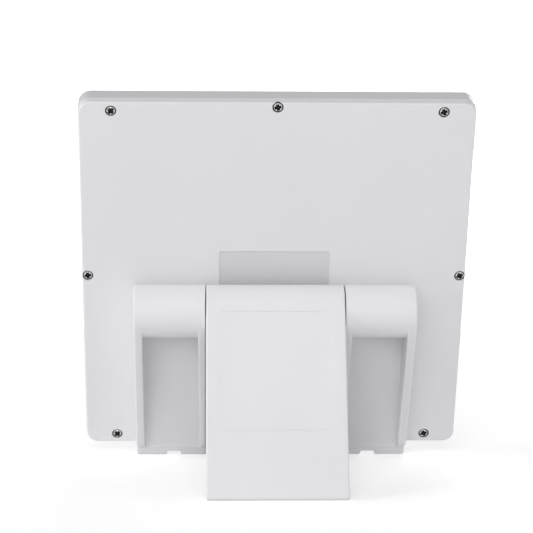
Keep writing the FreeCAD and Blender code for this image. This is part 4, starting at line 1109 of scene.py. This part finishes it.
def button():
    bm = bmesh.new()
    face_x = PANEL_SIDE / 2 + BUTTON_PROUD
    push(bm, side_outline(bm, BUTTON, BUTTON_FLANGE[0], 0), (face_x - BUTTON_FLANGE[0], 0, 0))
    turn_outward(bm)
    round_off(bm, edges_with(bm, lambda place: place.x > face_x - CLOSE), BUTTON_ROUND)
    dimple = side_outline(bm, BUTTON, face_x, -DIMPLE["inset"])
    rims = pierce(bm, flat_face(bm, (1, 0, 0)), dimple)
    sink(bm, rims[0], (-DIMPLE["depth"], 0, 0))
    round_off(bm, rims[0], DIMPLE["round"], steps=2)
    tab = side_outline(bm, BUTTON, BUTTON_FLANGE[0], BUTTON_LAP)
    push(bm, tab, (BUTTON_FLANGE[1] - BUTTON_FLANGE[0], 0, 0))
    return bm


hand_over(button(), "button_key", panel_bench, button_white, "button", "button", "power_button")

# %% Socket
SOCKET_MOUTH = 94.6
SOCKET_DEPTH = 6.4
SOCKET_WALL = 0.35
TONGUE = {"width": 4.8, "height": 0.7, "back": 0.6, "front": 1.0, "round": 0.12}
CONTACT = {"count": 4, "pitch": 1.1, "width": 0.6, "back": 5.0, "front": 1.4, "proud": 0.06, "sunk": 0.02,
           "round": 0.02}


def socket_shell():
    bm = bmesh.new()
    back = side_outline(bm, SOCKET, SOCKET_MOUTH - SOCKET_DEPTH, 0)
    push(bm, back, (SOCKET_DEPTH, 0, 0))
    turn_outward(bm)
    hollow_out(bm, (1, 0, 0), SOCKET_WALL, SOCKET_DEPTH - 2 * SOCKET_WALL)
    return bm


def block(bm, low, high):
    """A box between two corners."""
    made = bmesh.ops.create_cube(bm, size=1)["verts"]
    middle = [(a + b) / 2 for a, b in zip(low, high)]
    bmesh.ops.scale(bm, verts=made, vec=[b - a for a, b in zip(low, high)])
    bmesh.ops.translate(bm, verts=made, vec=middle)


def tongue():
    bm = bmesh.new()
    y, z = SOCKET["y"], SOCKET["z"]
    half_width, half_height = TONGUE["width"] / 2, TONGUE["height"] / 2
    block(bm, (SOCKET_MOUTH - SOCKET_DEPTH + TONGUE["back"], y - half_width, z - half_height),
          (SOCKET_MOUTH - TONGUE["front"], y + half_width, z + half_height))
    round_off(bm, bm.edges[:], TONGUE["round"], steps=2)
    return bm


def contacts():
    bm = bmesh.new()
    under = SOCKET["z"] - TONGUE["height"] / 2
    for number in range(CONTACT["count"]):
        steps_out = number - (CONTACT["count"] - 1) / 2
        left = SOCKET["y"] + steps_out * CONTACT["pitch"] - CONTACT["width"] / 2
        block(bm, (SOCKET_MOUTH - CONTACT["back"], left, under - CONTACT["proud"]),
              (SOCKET_MOUTH - CONTACT["front"], left + CONTACT["width"], under + CONTACT["sunk"]))
    round_off(bm, bm.edges[:], CONTACT["round"], steps=1)
    return bm


hand_over(socket_shell(), "socket_shell", panel_bench, socket_steel, "socket", "panel", "power_socket")
hand_over(tongue(), "socket_tongue", panel_bench, black_mould, "board_parts", "panel")
hand_over(contacts(), "socket_contacts", panel_bench, gold, "socket", "panel")

# %% [markdown]
# ## The studio
# The lamp stands on a white table that runs away into a white room. The table takes the lamp's soft
# shadow. Only for what the camera, mirrors and glass see directly is it lifted to white, more so far away
# from the lamp, where the softboxes don't reach, and no extra light falls on the lamp.

# %% Table and room
TABLE_SIDE = 400.0
NEAR_LIFT = 0.36
FAR_LIFT = 1.0
NEAR_REACH = 0.3
FAR_REACH = 1.3


def studio_table():
    bm = bmesh.new()
    bmesh.ops.create_grid(bm, x_segments=1, y_segments=1, size=TABLE_SIDE / 2)
    table = mesh_object("studio_table", bm)
    finish = Finish("table white", base_color=colour(0.9, 0.9, 0.9), roughness=0.9, emission_strength=1.0)
    seen = sum(finish.node("LightPath", {}, {}, f"Is {ray} Ray")
               for ray in ("Camera", "Glossy", "Transmission"))
    reach = finish.node("VectorMath", {"operation": "LENGTH"}, {0: finish.here()}, "Value")
    lift = finish.node("MapRange", {}, {"Value": reach, "From Min": NEAR_REACH, "From Max": FAR_REACH,
                                        "To Min": NEAR_LIFT, "To Max": FAR_LIFT})
    finish.set(emission_color=finish.blend(seen * lift, colour(0, 0, 0), colour(1, 1, 1)))
    table.data.materials.append(finish.material)


studio_table()

ROOM_LIGHT = 0.3
ROOM_TINT = colour(1.0, 0.97, 1.015)
room = bpy.data.worlds.new("room")
room.use_nodes = True
bpy.context.scene.world = room
tree = room.node_tree
tree.nodes.clear()
sight = tree.nodes.new("ShaderNodeLightPath")
chosen = tree.nodes.new("ShaderNodeMixShader")
result = tree.nodes.new("ShaderNodeOutputWorld")
for place, tint, strength in ((1, ROOM_TINT, ROOM_LIGHT), (2, colour(1, 1, 1), 1.0)):
    background = tree.nodes.new("ShaderNodeBackground")
    background.inputs["Color"].default_value = tint
    background.inputs["Strength"].default_value = strength
    tree.links.new(background.outputs["Background"], chosen.inputs[place])
tree.links.new(sight.outputs["Is Camera Ray"], chosen.inputs["Fac"])
tree.links.new(chosen.outputs["Shader"], result.inputs["Surface"])

# %% [markdown]
# The largest share of the light comes from two softboxes, one far out on each side, so that edges and walls
# that look sideways are bright and the stand throws only soft shadows. The left one is the stronger. Three
# weaker ones in front, on the left and above model the barrels, and one behind the panel lights the opal
# sheet. The room itself adds a faint, slightly purple light to the shadows.

# %% Softboxes
AIM = Vector((0.0, 0.0, 0.1))


def softbox(name, place, side, watts):
    light = bpy.data.lights.new(name, "AREA")
    light.shape = "SQUARE"
    light.size = side
    light.energy = watts
    lamp = put_in_scene(name, light)
    lamp.location = place
    lamp.rotation_euler = (AIM - Vector(place)).to_track_quat("-Z", "Y").to_euler()
    lamp.visible_camera = False


softbox("left side", (-2.0, -0.4, 0.6), 1.0, 18)
softbox("right side", (2.0, -0.4, 0.6), 1.0, 6.5)
softbox("front left", (-0.7, -1.9, 1.0), 0.9, 7.6)
softbox("front", (0.0, -2.0, 0.45), 1.2, 5.8)
softbox("above", (0.0, -1.3, 1.9), 0.8, 5.6)
softbox("far side", (0.5, 1.9, 0.35), 1.2, 24)

# %% [markdown]
# ## Camera
# The camera looks at the panel's back from a little above, through a long lens. Its place is given as a
# photographer would note it on the bench: how far it is turned, tipped and rolled against the panel, how
# far away it is, and how far the panel is off the middle of the picture.

# %% Camera
CAMERA_YAW = math.radians(2.29)
CAMERA_PITCH = math.radians(27.45)
CAMERA_ROLL = math.radians(-1.14)
CAMERA_DISTANCE = 965.0
PANEL_OFFSET = (3.85, -6.5)
LENS = 131.7
SENSOR = 36.0

camera_data = bpy.data.cameras.new("camera")
camera_data.lens = LENS
camera_data.sensor_width = SENSOR
camera = put_in_scene("camera", camera_data)
panel_seen = (Matrix.Rotation(CAMERA_ROLL, 4, "Z") @ Matrix.Rotation(CAMERA_PITCH, 4, "X")
              @ Matrix.Rotation(CAMERA_YAW, 4, "Y"))
eye = panel_seen.inverted() @ Vector((-PANEL_OFFSET[0], -PANEL_OFFSET[1], CAMERA_DISTANCE))
turned = leaning @ panel_seen.inverted()
camera.matrix_world = Matrix.Translation(panel_bench @ eye) @ turned
bpy.context.scene.camera = camera
bpy.context.scene.view_settings.view_transform = "Standard"
print("camera at", [round(place, 3) for place in camera.matrix_world.translation])
